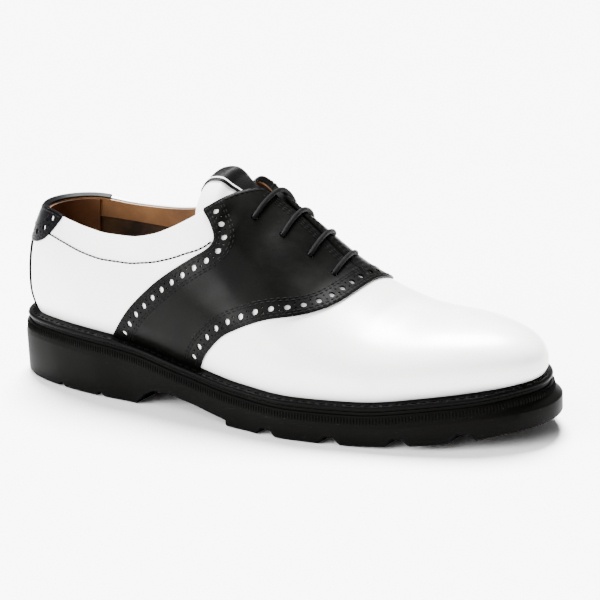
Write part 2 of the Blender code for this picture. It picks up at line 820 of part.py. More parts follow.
def build():
    for old in list(bpy.data.objects):
        bpy.data.objects.remove(old)
    bpy.context.scene.collection.children.link(MADE)
    bpy.context.scene.collection.children.link(CUTTERS)
    rubber = material("sole_rubber", (0.012, 0.012, 0.013), 0.62)
    welt_rubber = material("welt_rubber", (0.014, 0.014, 0.014), 0.45)
    white = material("white_leather", (0.84, 0.84, 0.82), 0.38)
    black = material("black_leather", (0.014, 0.014, 0.014), 0.30)
    patent = material("patent_leather", (0.010, 0.011, 0.016), 0.16)
    tongue = material("tongue_leather", (0.82, 0.82, 0.80), 0.42)
    ribbon = material("label_ribbon", (0.012, 0.012, 0.013), 0.50)
    cord = material("lace_cord", (0.015, 0.015, 0.015), 0.75)
    board = material("insole_leather", (0.42, 0.24, 0.11), 0.60)
    make_outsole(rubber)
    make_welt(welt_rubber)
    make_insole(board)
    tools = eyelet_cutters()
    make_upper(white, tools)
    make_saddle(black, tools)
    make_heel_tab(patent)
    make_tongue(tongue)
    make_label(ribbon)
    make_lace(cord)


build()
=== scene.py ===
"""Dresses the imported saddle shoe: leathers, perforations, stitches, laces, welt and ribbed sole."""
import math
import bmesh
import bpy
import numpy as np
from mathutils import Matrix, Vector


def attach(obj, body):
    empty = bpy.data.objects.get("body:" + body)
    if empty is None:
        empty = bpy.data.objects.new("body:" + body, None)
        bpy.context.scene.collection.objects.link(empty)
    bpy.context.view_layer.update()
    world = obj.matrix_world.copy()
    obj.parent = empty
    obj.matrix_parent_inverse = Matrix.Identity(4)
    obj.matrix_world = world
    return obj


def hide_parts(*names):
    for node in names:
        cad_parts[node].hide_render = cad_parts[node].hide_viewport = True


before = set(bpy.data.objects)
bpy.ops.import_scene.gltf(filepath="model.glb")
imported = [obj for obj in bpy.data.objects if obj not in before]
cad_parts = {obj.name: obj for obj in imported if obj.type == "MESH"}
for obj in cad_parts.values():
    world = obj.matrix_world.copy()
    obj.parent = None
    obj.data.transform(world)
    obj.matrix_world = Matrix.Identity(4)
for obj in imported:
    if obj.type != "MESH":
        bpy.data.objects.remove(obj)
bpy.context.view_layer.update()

# Sizes of the last and of the shoe around it, in metres, as in the solids
LAST_LENGTH = 0.300
BALL_WIDTH = 0.104
INSTEP_RISE = 0.0918
HEEL_HEIGHT = 0.0335
BALL_HEIGHT = 0.0200
TOE_SPRING = 0.0085
HEEL_CENTRE = 0.0355
TOE_SWING = 0.0060
RIDGE_LEAN = 0.0100
BELLY = 0.0140
TUCK = 0.0090
WALL = 0.0020
TONGUE_THICK = 0.0030
LABEL_THICK = 0.0008
WELT_THICK = 0.0031
INSOLE_THICK = 0.0055
GAP = 0.0003
SOLE_REACH = 0.0080
WELT_SETBACK = 0.0016
SIDE_EDGE = 0.0016
RIB_STEP = 0.0009
RIB_HEIGHT = 0.0050
GROOVE_DEPTH = 0.0030
GROOVE_HEIGHT = 0.0016
ARCH_HEIGHT = 0.0100
LUG_DEPTH = 0.0040
LUG_RUN = 0.0170
LUG_WIDE = 0.0120
LUG_NARROW = 0.0055
HEEL_LUG_DEPTH = 0.0025
HEEL_LUG_WIDE = 0.0060
EYELET_RADIUS = 0.0022
EYELET_REACH = 0.0200
SLIT_HALF = 0.0012
LACE_RADIUS = 0.00125
LACE_PLAY = 0.0009
TONGUE_HALF = 0.0480
TONGUE_ARCH = 0.0046
LABEL_HALF = 0.0125
UNDER_LIFT = -WALL - LACE_PLAY - LACE_RADIUS
TONGUE_LIFT = UNDER_LIFT - LACE_RADIUS - LACE_PLAY

# Sizes that only the dressed shoe has
UPPER_THICK = 0.0013
UPPER_ROUND = 0.0003      # its rounded rims
LINING_THICK = 0.0006
LINING_PLAY = (0.00005, 0.00025, 0.0004)    # clear of the layer outside: lining, band, heel
LINING_DROP = 0.004       # girth by which the linings' tops stay below the upper's
BAND_FOOT = 0.54          # girth of the collar band's lower edge
HEEL_LINING = (0.100, 0.066)    # how far it reaches, outer and inner side
HEEL_LINING_DROP = 0.006
HEEL_LINING_FOOT = 0.80
OVERLAY_LIFT = 0.0002     # the overlays lie closer than in the solids, and are thinner
OVERLAY_THICK = 0.0010
OVERLAY_ROUND = 0.00025
OVERLAY_FACE = OVERLAY_LIFT + OVERLAY_THICK
LACE_LIFT = OVERLAY_FACE + LACE_RADIUS * 0.92
EDGE_BAND = 0.0004        # thickness of the turned-in edges
EDGE_BAND_ROUND = 0.0001
EDGE_BAND_PLAY = 0.0003   # how far they end past the lining
TONGUE_PADDING = TONGUE_THICK * 0.85
TONGUE_THIN = TONGUE_THICK * 0.3    # how much it loses at its rim
TONGUE_RIM = (30, 9)      # how steeply it does so, at its end and at its sides
TONGUE_ROUND_EDGE = 0.0007
RIBBON_THICK = LABEL_THICK * 0.6
RIBBON_ROUND = 0.00015
PIPING_THICK = 0.0003
PIPING_INSET = 0.88       # of the ribbon's half width, from its middle
PIPING_WIDE = 0.056       # of that half width
LACE_TAIL = 0.018         # share by which the first end runs on behind the top eyelet
LACE_RAIL = 0.006         # how far beside the eyelets the other end runs back up
HOLE_PITCH = 0.0079
HOLE_INSET = 0.0052
HOLE_MARGIN = 0.6         # of the pitch, from a line's end to its first hole
HOLE_RADIUS = 0.00160
HOLE_CORNERS = 16
PIN_RADIUS = 0.00052
PIN_CORNERS = 8
PIN_SPREAD = 0.0014
LACE_HOLE = EYELET_RADIUS * 0.86
LACE_HOLE_CORNERS = 20
STITCH_LENGTH = 0.0024
STITCH_PITCH = 0.0030
STITCH_RADIUS = 0.00034
SEAM_LENGTH = 0.0028      # the collar seam's stitches
SEAM_PITCH = 0.0026
SEAM_RADIUS = 0.00052
SEAM_LIFT = 0.0002
EDGE_ROWS = (0.0012, 0.0026)    # rows of stitches: distances from the overlay's edge
INNER_ROWS = (0.0088, 0.0102)
SLIT_ROWS = (0.0018, 0.0036, 0.0054)
SLIT_MARGIN = (0.006, 0.004)    # share by which they stop short of the slit's ends
SEAM_MARGIN = 0.02        # girth that the heel tab's lower seams keep below the collar
WELT_LIP = (0.0013, 0.0004)    # the raised lip beside the upper: its foot and its top
WELT_LEDGE = 0.0021       # where the stitched ledge begins, past the bead's side
WELT_LEDGE_DEPTH = 0.00035
WELT_STITCH_PITCH = 0.0046
WELT_STITCH_SETBACK = 0.0029
WELT_STITCH_DEPTH = 0.00025
WELT_STITCH_HALF = (0.00055, 0.00045)    # half width and half height
RIB_PITCH = 0.0016
RIB_PROUD = 0.0007
RIB_HALF_HEIGHT = RIB_HEIGHT * 0.56
RIB_HALF_WIDTH = RIB_PITCH * 0.36
TOE_DRAW = 0.0030         # how far the sole's upper part is drawn in at the toe
TOE_DRAW_FROM = 0.92
CHART_LONG = 0.47         # metres of shoe per station, about
CHART_ROUND = 0.11        # metres of leather per girth, about
STRIDE = 0.002            # longest step of a line that is moved sideways
PROBE = 0.001             # a short way, to tell a direction by
WELD = 0.000004

# Creases and swells: share and girth of the middle, share and girth of the spread, height
CREASES = (
    ((0.735, -0.05), (0.016, 0.30), -0.0006),
    ((0.770, 0.02), (0.014, 0.34), 0.0004),
    ((0.600, -0.72), (0.035, 0.10), -0.0005),
    ((0.340, -0.78), (0.050, 0.12), -0.0004),
    ((0.446, -0.30), (0.007, 0.07), 0.0005),
    ((0.461, -0.34), (0.006, 0.08), -0.0005),
    ((0.477, -0.36), (0.007, 0.09), 0.0004),
    ((0.470, -0.62), (0.030, 0.06), -0.0004),
)
CREASE_FADE = 0.15        # girth over which they fade out above the lower edge

# The last, a row per section, as in the solids
LAST_COLUMNS = ("share", "lateral", "medial", "seat", "spring", "ridge", "belly",
                "tuck_lateral", "tuck_medial", "crown", "flank")
LAST = (
    (0.00, 0.655, 0.615, 1.00, 0.00, 0.812, 1.00, 0.33, 0.33, 0.80, 1.00),
    (0.10, 0.525, 0.490, 1.04, 0.00, 0.828, 1.00, 0.33, 0.39, 0.85, 1.00),
    (0.20, 0.470, 0.400, 0.98, 0.00, 0.848, 1.00, 0.39, 0.67, 0.87, 1.00),
    (0.31, 0.425, 0.340, 0.78, 0.00, 0.910, 1.00, 0.39, 1.00, 0.92, 1.00),
    (0.42, 0.435, 0.345, 0.385, 0.00, 1.000, 1.00, 0.33, 1.00, 1.05, 1.00),
    (0.53, 0.480, 0.410, 0.095, 0.00, 0.808, 1.00, 0.28, 0.67, 1.18, 0.98),
    (0.64, 0.525, 0.480, 0.00, 0.00, 0.549, 0.86, 0.24, 0.33, 1.15, 0.94),
    (0.75, 0.525, 0.560, 0.00, 0.06, 0.378, 0.64, 0.22, 0.22, 1.00, 0.90),
    (0.86, 0.520, 0.600, 0.00, 0.49, 0.312, 0.50, 0.22, 0.22, 0.85, 0.82),
    (1.00, 0.515, 0.590, 0.00, 1.12, 0.256, 0.36, 0.22, 0.22, 0.80, 0.76),
)
HEEL_FAN = 0.16
TOE_FAN = 0.83
FAN_SOFTNESS = 0.03
LEAN_FROM = 0.1
SPRING = ((0.00, 0.00), (0.70, 0.00), (0.80, 0.14), (0.90, 0.47), (1.00, 1.00))

# The sole's reach, arch and notches, closer to the photo than the solids' are
REACH = ((0.00, 0.94), (0.30, 1.06), (0.60, 0.98), (0.85, 1.05), (1.00, 1.06))
ARCH = (
    (0.304, 0.00), (0.324, 0.58), (0.350, 0.95), (0.385, 1.00), (0.430, 0.78),
    (0.475, 0.54), (0.512, 0.35),
)
FRONT_LUGS = (0.596, 0.711, 0.822, 0.919)
HEEL_LUGS = (0.132, 0.227)

# Lines drawn on the upper, as in the solids: share of the length, girth from ridge to lower edge
COLLAR_LATERAL = (
    (0.00, 0.435), (0.08, 0.405), (0.13, 0.418), (0.185, 0.446), (0.237, 0.470),
    (0.285, 0.474), (0.331, 0.452), (0.366, 0.412), (0.401, 0.352), (0.425, 0.292),
    (0.443, 0.225), (0.460, 0.145), (0.478, 0.050),
)
COLLAR_MEDIAL = (
    (0.00, 0.435), (0.08, 0.412), (0.14, 0.418), (0.206, 0.412), (0.268, 0.388),
    (0.34, 0.320), (0.40, 0.225), (0.445, 0.110), (0.478, 0.050),
)
CORNER = 0.478
BASE = 0.664
SLIT = ((0.478, 4.60), (0.51, 1.90), (0.56, 1.00), (0.664, 0.60))
EYELETS = ((0.495, 1.20), (0.543, 1.03), (0.589, 0.89), (0.632, 0.81))
TONGUE_TOP = 0.362        # the tongue's end, at the ridge
TONGUE_ROUND = 0.040      # how far its corners fall back from there
TONGUE_FOOT = 0.700
TONGUE_WIDTH = (
    (0.362, 0.88), (0.39, 1.00), (0.42, 1.00), (0.478, 0.78), (0.56, 0.64), (0.70, 0.50),
)
TONGUE_RISE = (           # share of the length from its end, how far it arches up there
    (0.000, -0.70), (0.012, 0.10), (0.030, 0.85), (0.048, 1.00), (0.072, 0.35), (0.10, 0.00),
)

# Lines closer to the photo than the solids' are
FAR_BACK = (0.007, 0.017, 0.018, 0.017)   # how far the inner side's eyelets stand further back
FAR_REACH = (1.05, 0.85, 0.82, 0.82)
SADDLE_REAR = (
    (0.245, 1.000), (0.259, 0.946), (0.287, 0.842), (0.306, 0.783), (0.345, 0.683),
    (0.376, 0.617), (0.422, 0.525), (0.446, 0.465), (0.452, 0.410), (0.437, 0.358),
)
SADDLE_CORNER = (0.417, 0.405)    # where that edge meets the collar, outer and inner side
SADDLE_FRONT = (
    (0.440, 1.000), (0.458, 0.925), (0.479, 0.854), (0.506, 0.779), (0.549, 0.696),
    (0.582, 0.633), (0.620, 0.562), (0.645, 0.490), (0.661, 0.410), (0.669, 0.330),
    (0.673, 0.250), (0.675, 0.170), (0.676, 0.085), (0.676, 0.000),
)
TAB_END = (0.112, 0.088)    # outer and inner side
TAB_EDGE = (              # share of the way to the tab's end, girth of its lower edge
    (0.00, 0.630), (0.35, 0.610), (0.62, 0.572), (0.85, 0.500), (1.00, 0.425),
)
TAB_LEAST = 0.012         # least girth between the collar and that edge
STRIP_STATION = 0.092     # half width of the strip down the back seam
STRIP_GIRTHS = (0.995, 0.633)
STRIP_SEAMS = (0.65, 0.985)
LABEL_FOOT = 0.33         # the ribbon's near end, down the tongue
LABEL_TAIL = 0.04         # and its far end, inside
COLLAR_SEAM = (0.085, 0.449)
COLLAR_SEAM_DROP = (
    (0.00, 0.120), (0.10, 0.122), (0.20, 0.135), (0.30, 0.130), (0.40, 0.170), (0.445, 0.23),
)

# Grids: named shares with the number of steps between them
UPPER_STEPS = (0.0, 120, CORNER, 56, BASE, 84, 1.0)
LINING_STEPS = (0.0, 60, CORNER, 28, BASE, 40, 1.0)
BAND_STEPS = (0.0, 90, CORNER)
SOLE_STEPS = (0.0, 90, 0.42, 120, 1.0)
INSOLE_STEPS = (0.0, 60, 0.42, 80, 1.0)


def curve(rows, at, column=1):
    """Smooth, never overshooting line through the rows of a table."""
    xs = [row[0] for row in rows]
    ys = [row[column] for row in rows]
    at = min(max(at, xs[0]), xs[-1])
    steps = [b - a for a, b in zip(xs, xs[1:])]
    rises = [(b - a) / h for a, b, h in zip(ys, ys[1:], steps)]
    slopes = [rises[0]]
    for h0, h1, d0, d1 in zip(steps, steps[1:], rises, rises[1:]):
        if d0 * d1 > 0:
            w0 = 2 * h1 + h0
            w1 = h1 + 2 * h0
            slopes.append((w0 + w1) / (w0 / d0 + w1 / d1))
        else:
            slopes.append(0.0)
    slopes.append(rises[-1])
    k = 0
    while k < len(steps) - 1 and at > xs[k + 1]:
        k += 1
    h = steps[k]
    t = (at - xs[k]) / h
    return ((2 * t**3 - 3 * t**2 + 1) * ys[k] + (t**3 - 2 * t**2 + t) * h * slopes[k]
            + (3 * t**2 - 2 * t**3) * ys[k + 1] + (t**3 - t**2) * h * slopes[k + 1])


def by_side(pair, side):
    """The outer or the inner side's value of a pair."""
    return pair[0 if side < 0 else 1]


def run_along(points):
    """Running length at each point of a line."""
    return np.append(0, np.cumsum(np.linalg.norm(np.diff(points, axis=0), axis=1)))


def at_runs(goal, run, line):
    """Points of a line at the given running lengths."""
    return np.column_stack([np.interp(goal, run, line[:, k]) for k in range(line.shape[1])])


def last(name, share):
    """A column of the last's table at a share of its length."""
    return curve(LAST, share, LAST_COLUMNS.index(name))


def share_of(station):
    """Share of the last's length at a station; stations lie closer together at both ends."""
    return (1 - math.cos(math.pi * station)) / 2


def station_of(share):
    return math.acos(1 - 2 * share) / math.pi


def feather(share):
    """Height of the line where upper and welt meet."""
    rise = last("seat", share) * (HEEL_HEIGHT - BALL_HEIGHT)
    return BALL_HEIGHT + rise + last("spring", share) * TOE_SPRING


def half_section(station, side, girths):
    """Points of a half section at shares of its running length, and that length."""
    share = share_of(station)
    soft = FAN_SOFTNESS
    low = HEEL_FAN + soft * math.log1p(math.exp((share - HEEL_FAN) / soft))
    mid = TOE_FAN - soft * math.log1p(math.exp((TOE_FAN - low) / soft))
    lean = math.sin(math.pi * min(max((mid - LEAN_FROM) / (1 - LEAN_FROM), 0), 1))
    mid_x = mid * LAST_LENGTH - HEEL_CENTRE
    mid_y = TOE_SWING * mid**2 + RIDGE_LEAN * lean
    half = last(by_side(("lateral", "medial"), side), share) * BALL_WIDTH
    half *= 2 * math.sqrt(max(share * (1 - share), 0))
    wide_x = share * LAST_LENGTH - HEEL_CENTRE
    wide_y = side * half + TOE_SWING * share**2
    reach = math.hypot(wide_x - mid_x, wide_y - mid_y)
    edge = feather(share)
    belly = edge + last("belly", share) * BELLY
    top = feather(mid) + last("ridge", mid) * INSTEP_RISE
    tuck = last(by_side(("tuck_lateral", "tuck_medial"), side), share) * TUCK
    crown_points, tuck_points = 97, 24
    angle = np.linspace(math.pi / 2, 0, crown_points)
    out = reach * np.clip(np.cos(angle), 0, 1)**last("crown", share)
    out[0] = 0
    height = belly + (top - belly) * np.sin(angle)**last("flank", share)
    t = np.linspace(0, 1, tuck_points + 1)[1:]
    out = np.append(out, reach - tuck * t * t)
    height = np.append(height, belly - (belly - edge) * t)
    line = np.column_stack((mid_x + (wide_x - mid_x) / reach * out,
                            mid_y + (wide_y - mid_y) / reach * out, height))
    run = run_along(line)
    return at_runs(girths * run[-1], run, line), run[-1]


class Surface:
    """The last as a fine net over station and girth, read by interpolation."""
    LONG = 420
    ROUND = 150
    PAD = 130             # rows past the heel's end, where the net goes on round the back
    TOE_PAD = 4           # and past the toe's
    SMOOTHING = 3         # columns to either side over which a normal is taken

    def __init__(self):
        girths = np.linspace(0, 1, self.ROUND + 1)
        net = np.empty((self.LONG + 1, 2 * self.ROUND + 1, 3))
        self.length = np.empty((self.LONG + 1, 2))
        for k in range(self.LONG + 1):
            left, self.length[k, 0] = half_section(k / self.LONG, -1, girths)
            right, self.length[k, 1] = half_section(k / self.LONG, 1, girths)
            net[k] = np.vstack((left[::-1], right[1:]))
        before = net[self.PAD:0:-1, ::-1]
        after = net[-2:-2 - self.TOE_PAD:-1, ::-1]
        self.net = np.concatenate((before, net, after))
        along = np.gradient(self.net, axis=0)
        around = np.gradient(self.net, axis=1)
        wide = self.SMOOTHING
        middle = self.net[:, 2 * wide:] - self.net[:, :-2 * wide]
        around[:, wide:-wide] = middle
        normal = np.cross(along, around)
        normal[:, (0, -1), 2] = 0
        size = np.linalg.norm(normal, axis=2, keepdims=True)
        self.normal = normal / np.maximum(size, 1e-12)

    def read(self, table, station, girth):
        i = np.clip(np.asarray(station, float) * self.LONG + self.PAD, 0, len(table) - 1.001)
        j = (np.clip(np.asarray(girth, float), -1, 1) + 1) * self.ROUND
        j = np.clip(j, 0, 2 * self.ROUND - 1e-6)
        a, b = i.astype(int), j.astype(int)
        s, t = (i - a)[..., None], (j - b)[..., None]
        return ((table[a, b] * (1 - t) + table[a, b + 1] * t) * (1 - s)
                + (table[a + 1, b] * (1 - t) + table[a + 1, b + 1] * t) * s)

    def skin(self, station, girth, lift=0.0):
        """Points of the upper's outer face, lifted off it, the creases with them."""
        point = self.read(self.net, station, girth)
        normal = self.read(self.normal, station, girth)
        normal /= np.linalg.norm(normal, axis=-1, keepdims=True)
        ease = relief(np.asarray(station, float), np.asarray(girth, float))
        return point + normal * (np.asarray(lift, float) + ease)[..., None]

    def girth_length(self, station, side):
        return float(np.interp(station, np.linspace(0, 1, self.LONG + 1),
                               self.length[:, by_side((0, 1), side)]))


def bump_at(station, girth, centre, spread):
    """Soft round hill, one high, around a place on the last."""
    return np.exp(-((station - centre[0]) / spread[0])**2 - ((girth - centre[1]) / spread[1])**2)


def relief(station, girth):
    """Main creases and swells of the leather, in metres off the last."""
    share = (1 - np.cos(np.pi * np.clip(station, 0, 1))) / 2
    fade = np.clip((1 - np.abs(girth)) / CREASE_FADE, 0, 1)
    swell = 0.0
    for centre, spread, height in CREASES:
        swell = swell + height * bump_at(share, girth, centre, spread)
    return swell * fade


surface = Surface()
skin = surface.skin


def outline(station, side, out):
    """Point beside the upper's lower edge, at a distance outwards from it."""
    near = 0.01
    ends = surface.read(surface.net, np.array([station - near, station + near, station]),
                        np.array([side, side, side]))[:, :2]
    way = ends[1] - ends[0]
    way /= np.linalg.norm(way)
    return ends[2] + np.array((-way[1], way[0])) * side * out


def top_girth(share, side):
    """Girth of the upper's edge: collar, slit, and then the closed ridge."""
    if share < CORNER:
        return curve(by_side((COLLAR_LATERAL, COLLAR_MEDIAL), side), share)
    if share < BASE:
        return curve(SLIT, share) * SLIT_HALF / surface.girth_length(station_of(share), side)
    return 0.0


def top_at(station, side):
    """The same at a station; a hair past it, so that the corner counts as slit."""
    return top_girth(share_of(abs(station)) + 1e-9, side)


def heel_top(station):
    """The same round the heel, where the outer side's stations are negative."""
    return top_at(station, -1 if station < 0 else 1)


def stations(*stops):
    """Stations spread evenly between named shares: share, number of steps, share, ..."""
    found = [station_of(stops[0])]
    for count, share in zip(stops[1::2], stops[2::2]):
        first, end = found[-1], station_of(share)
        found += [first + (end - first) * n / count for n in range(1, count + 1)]
    return found


# Making and finishing pieces

def select_only(*objects):
    """Selects these objects alone, the first as the active one."""
    bpy.ops.object.select_all(action="DESELECT")
    for made in objects:
        made.select_set(True)
    bpy.context.view_layer.objects.active = objects[0]


def add_object(name, data):
    made = bpy.data.objects.new(name, data)
    bpy.context.scene.collection.objects.link(made)
    return made


def closed_object(name, maker):
    """Object from a bmesh, its faces turned outwards."""
    bmesh.ops.recalc_face_normals(maker, faces=maker.faces)
    mesh = bpy.data.meshes.new(name)
    maker.to_mesh(mesh)
    maker.free()
    return add_object(name, mesh)


def adopt(made, name, slot, material, *nodes, smooth=30):
    """Name, material, body and the solids that a finished piece stands for; its slot is not used."""
    made.name = name
    made.data.name = name
    made.data.materials.clear()
    made.data.materials.append(material)
    select_only(made)
    bpy.ops.object.shade_smooth_by_angle(angle=math.radians(smooth))
    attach(made, "root")
    if nodes:
        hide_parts(*nodes)


def apply_modifiers(made):
    select_only(made)
    for step in list(made.modifiers):
        bpy.ops.object.modifier_apply(modifier=step.name)


def flat_grid(columns, rows):
    """Grid primitive and the column and row number of each of its points."""
    bpy.ops.object.select_all(action="DESELECT")
    bpy.ops.mesh.primitive_grid_add(x_subdivisions=columns, y_subdivisions=rows, size=1)
    made = bpy.context.object
    spots = np.empty(len(made.data.vertices) * 3)
    made.data.vertices.foreach_get("co", spots)
    spots = spots.reshape(-1, 3) + 0.5
    return (made, np.rint(spots[:, 0] * columns).astype(int),
            np.rint(spots[:, 1] * rows).astype(int))


def move_points(made, points):
    """Gives a mesh's points their places, in their own order."""
    made.data.vertices.foreach_set("co", np.ascontiguousarray(points, dtype=np.float32).ravel())
    made.data.update()


def get_points(made):
    spots = np.empty(len(made.data.vertices) * 3)
    made.data.vertices.foreach_get("co", spots)
    return spots.reshape(-1, 3)


def weld(made, outwards=True):
    """Joins points that coincide, and turns the faces outwards where that is wanted."""
    maker = bmesh.new()
    maker.from_mesh(made.data)
    bmesh.ops.remove_doubles(maker, verts=maker.verts, dist=WELD)
    if outwards:
        bmesh.ops.recalc_face_normals(maker, faces=maker.faces)
    maker.to_mesh(made.data)
    maker.free()


def thicken(made, thick, offset=-1.0, edge=0.0):
    """Gives an open surface its thickness, and its rims a round edge."""
    step = made.modifiers.new("thickness", "SOLIDIFY")
    step.thickness = thick
    step.offset = offset
    if edge:
        step = made.modifiers.new("round edge", "BEVEL")
        step.width = edge
        step.segments = 2
        step.limit_method = "ANGLE"
        step.angle_limit = math.radians(50)
    apply_modifiers(made)


def lay(made, place, lift=0.0):
    """Puts a sheet's points where place(lift) says, its faces away from the last."""
    points = place(lift)
    move_points(made, points)
    face = made.data.polygons[len(made.data.polygons) // 2]
    k = face.vertices[0]
    if Vector(place(lift + PROBE)[k] - points[k]).dot(face.normal) < 0:
        made.data.flip_normals()


def cut_away(made, maker):
    """Takes the closed shapes of a bmesh away from a piece."""
    tool = closed_object("cutter", maker)
    step = made.modifiers.new("cut", "BOOLEAN")
    step.operation = "DIFFERENCE"
    step.solver = "EXACT"
    step.object = tool
    apply_modifiers(made)
    bpy.data.objects.remove(tool)


def add_prism(maker, *rings):
    """Closed prism between two rings of points."""
    ends = [[maker.verts.new(spot) for spot in ring] for ring in rings]
    maker.faces.new(ends[0][::-1])
    maker.faces.new(ends[1])
    for a in range(len(ends[0])):
        b = (a + 1) % len(ends[0])
        maker.faces.new((ends[0][a], ends[0][b], ends[1][b], ends[1][a]))


# Upper and linings

def ring_grid(steps, rows, drop, lift, bottom=1.0):
    """Shell all round the shoe, from a girth below the upper's edge down to another girth."""
    at = stations(*steps)
    around = [(s, -1) for s in at[::-1]] + [(s, 1) for s in at[1:]]
    tops = np.array([top_at(s, side) + drop for s, side in around])
    station, side = np.array(around).T
    made, column, row = flat_grid(len(around) - 1, rows)
    girth = tops[column] + (bottom - tops[column]) * (1 - row / rows)
    lay(made, lambda up: skin(station[column], side[column] * girth, up), lift)
    weld(made, outwards=False)
    return made


def lining_lift(layer):
    """Where a lining's outer face lies: 0 the lining, 1 the collar band, 2 the heel's patch."""
    return -UPPER_THICK - LINING_THICK * layer - LINING_PLAY[layer]


def make_heel_lining(leather):
    """Patch inside the heel, with an upright edge on either side."""
    columns, rows = 90, 16
    made, column, row = flat_grid(columns, rows)
    outer, inner = [station_of(share) for share in HEEL_LINING]
    station = -outer + (outer + inner) * column / columns
    tops = np.array([heel_top(s) for s in station])
    girth = tops + HEEL_LINING_DROP + (HEEL_LINING_FOOT - tops) * (1 - row / rows)
    lay(made, lambda up: skin(station, girth, up), lining_lift(2))
    thicken(made, LINING_THICK)
    adopt(made, "lining_heel", "insole_leather", leather)


def make_upper(white, lining, dark, heel):
    """White upper with its eyelets, and the linings inside it, layer by layer."""
    made = ring_grid(UPPER_STEPS, 56, 0.0, 0.0)
    cut_eyelets(made)
    thicken(made, UPPER_THICK, edge=UPPER_ROUND)
    adopt(made, "upper_leather", "white_leather", white, "upper")
    # below the collar band the lining takes a darker copy of the tan: painted shade low inside the
    # shoe
    inside = ring_grid(LINING_STEPS, 26, LINING_DROP, lining_lift(0))
    thicken(inside, LINING_THICK)
    adopt(inside, "lining", "insole_leather", dark)
    band = ring_grid(BAND_STEPS, 16, LINING_DROP, lining_lift(1), BAND_FOOT)
    thicken(band, LINING_THICK)
    adopt(band, "lining_band", "insole_leather", lining)
    make_heel_lining(heel)


def eyelet(number, side):
    """Station and signed girth of an eyelet; the inner row is drawn back a little."""
    share, reach = EYELETS[number]
    if side > 0:
        share -= FAR_BACK[number]
        reach *= FAR_REACH[number]
    station = station_of(share)
    return station, side * reach * EYELET_REACH / surface.girth_length(station, side)


def cut_eyelets(made):
    """Opens the eyelets in a sheet, before it has its thickness."""
    maker = bmesh.new()
    maker.from_mesh(made.data)
    for number in range(len(EYELETS)):
        for side in (-1, 1):
            centre = Vector(skin(*eyelet(number, side)))
            near = [f for f in maker.faces
                    if (f.calc_center_median() - centre).length < EYELET_RADIUS]
            bmesh.ops.delete(maker, geom=near, context="FACES")
    maker.to_mesh(made.data)
    maker.free()


# Lines on the leather: arrays of station and signed girth

def smooth_line(rows, side, count=240):
    """Even, rounded line through the rows of a table, on one side of the shoe."""
    knots = np.array([(station_of(min(share, 1)), side * girth) for share, girth in rows])
    padded = np.vstack((2 * knots[0] - knots[1], knots, 2 * knots[-1] - knots[-2]))
    found = []
    for k in range(len(knots) - 1):
        a, b, c, d = padded[k:k + 4]
        t = np.linspace(0, 1, 24, endpoint=False)[:, None]
        found.append(0.5 * (2 * b + (c - a) * t + (2 * a - 5 * b + 4 * c - d) * t**2
                            + (3 * b - a - 3 * c + d) * t**3))
    found = np.vstack(found + [knots[-1:]])
    return even_line(found, count)


def run_of(line):
    """Running length over the leather at each point of a line."""
    return run_along(skin(line[:, 0], line[:, 1]))


def even_line(line, count):
    """The same line as a number of points that lie evenly over the leather."""
    run = run_of(line)
    return at_runs(np.linspace(0, run[-1], count), run, line)


def chart_step(line, move):
    """Turns moves in metres into moves in station and girth."""
    small, end = 0.002, 0.995
    station, girth = line[:, 0], np.clip(line[:, 1], -end, end)
    base = skin(station, girth)
    du = (skin(station + small, girth) - base) / small
    dv = (skin(station, girth + small) - base) / small
    uu = (du * du).sum(1)
    vv = (dv * dv).sum(1)
    uv = (du * dv).sum(1)
    mu = (du * move).sum(1)
    mv = (dv * move).sum(1)
    det = uu * vv - uv * uv
    return np.column_stack(((vv * mu - uv * mv) / det, (uu * mv - uv * mu) / det))


def directions(line):
    """Unit vectors along a line, across it to its left, and off the leather."""
    points = skin(line[:, 0], line[:, 1])
    along = np.gradient(points, axis=0)
    along /= np.linalg.norm(along, axis=1, keepdims=True)
    normal = surface.read(surface.normal, line[:, 0], line[:, 1])
    normal -= along * (normal * along).sum(1, keepdims=True)
    normal /= np.linalg.norm(normal, axis=1, keepdims=True)
    return along, np.cross(normal, along), normal


def beside(line, distance):
    """The line moved sideways over the leather, to its left, by a distance in metres."""
    found = line.copy()
    edge = 0.999
    steps = max(1, int(abs(distance) / STRIDE))
    for _ in range(steps):
        across = directions(found)[1]
        found = found + chart_step(found, across * distance / steps)
        found = found[np.abs(found[:, 1]) < edge]
    return found


def walk(line, pitch, margin=0.5):
    """Even places along a line, about a pitch apart; the margin is a share of the pitch."""
    run = run_of(line)
    count = max(2, round((run[-1] - 2 * margin * pitch) / pitch) + 1)
    return at_runs(np.linspace(margin * pitch, run[-1] - margin * pitch, count), run, line)


def even_runs(length, pitch):
    """Running lengths about a pitch apart, half a step from either end."""
    count = int(length / pitch)
    return (np.arange(count) + 0.5) * length / count


def bead_template():
    """Points of a small round bead, its long way first, and its faces."""
    maker = bmesh.new()
    bmesh.ops.create_uvsphere(maker, u_segments=6, v_segments=5, radius=1)
    points = np.array([v.co[:] for v in maker.verts])[:, [2, 0, 1]]
    faces = [tuple(v.index for v in f.verts) for f in maker.faces]
    maker.free()
    return points, faces


BEAD, BEAD_FACES = bead_template()


def beads(name, rows, slot, material):
    """Many beads as one mesh; a row holds centres and half axes: along, across and upwards."""
    centres, *axes = [np.vstack(part) for part in zip(*rows)]
    points = centres[:, None, :] + sum(BEAD[None, :, k:k + 1] * axes[k][:, None, :]
                                       for k in range(3))
    faces = [tuple(v + n * len(BEAD) for v in f) for n in range(len(centres)) for f in BEAD_FACES]
    mesh = bpy.data.meshes.new(name)
    mesh.from_pydata(points.reshape(-1, 3).tolist(), [], faces)
    adopt(add_object(name, mesh), name, slot, material, smooth=60)


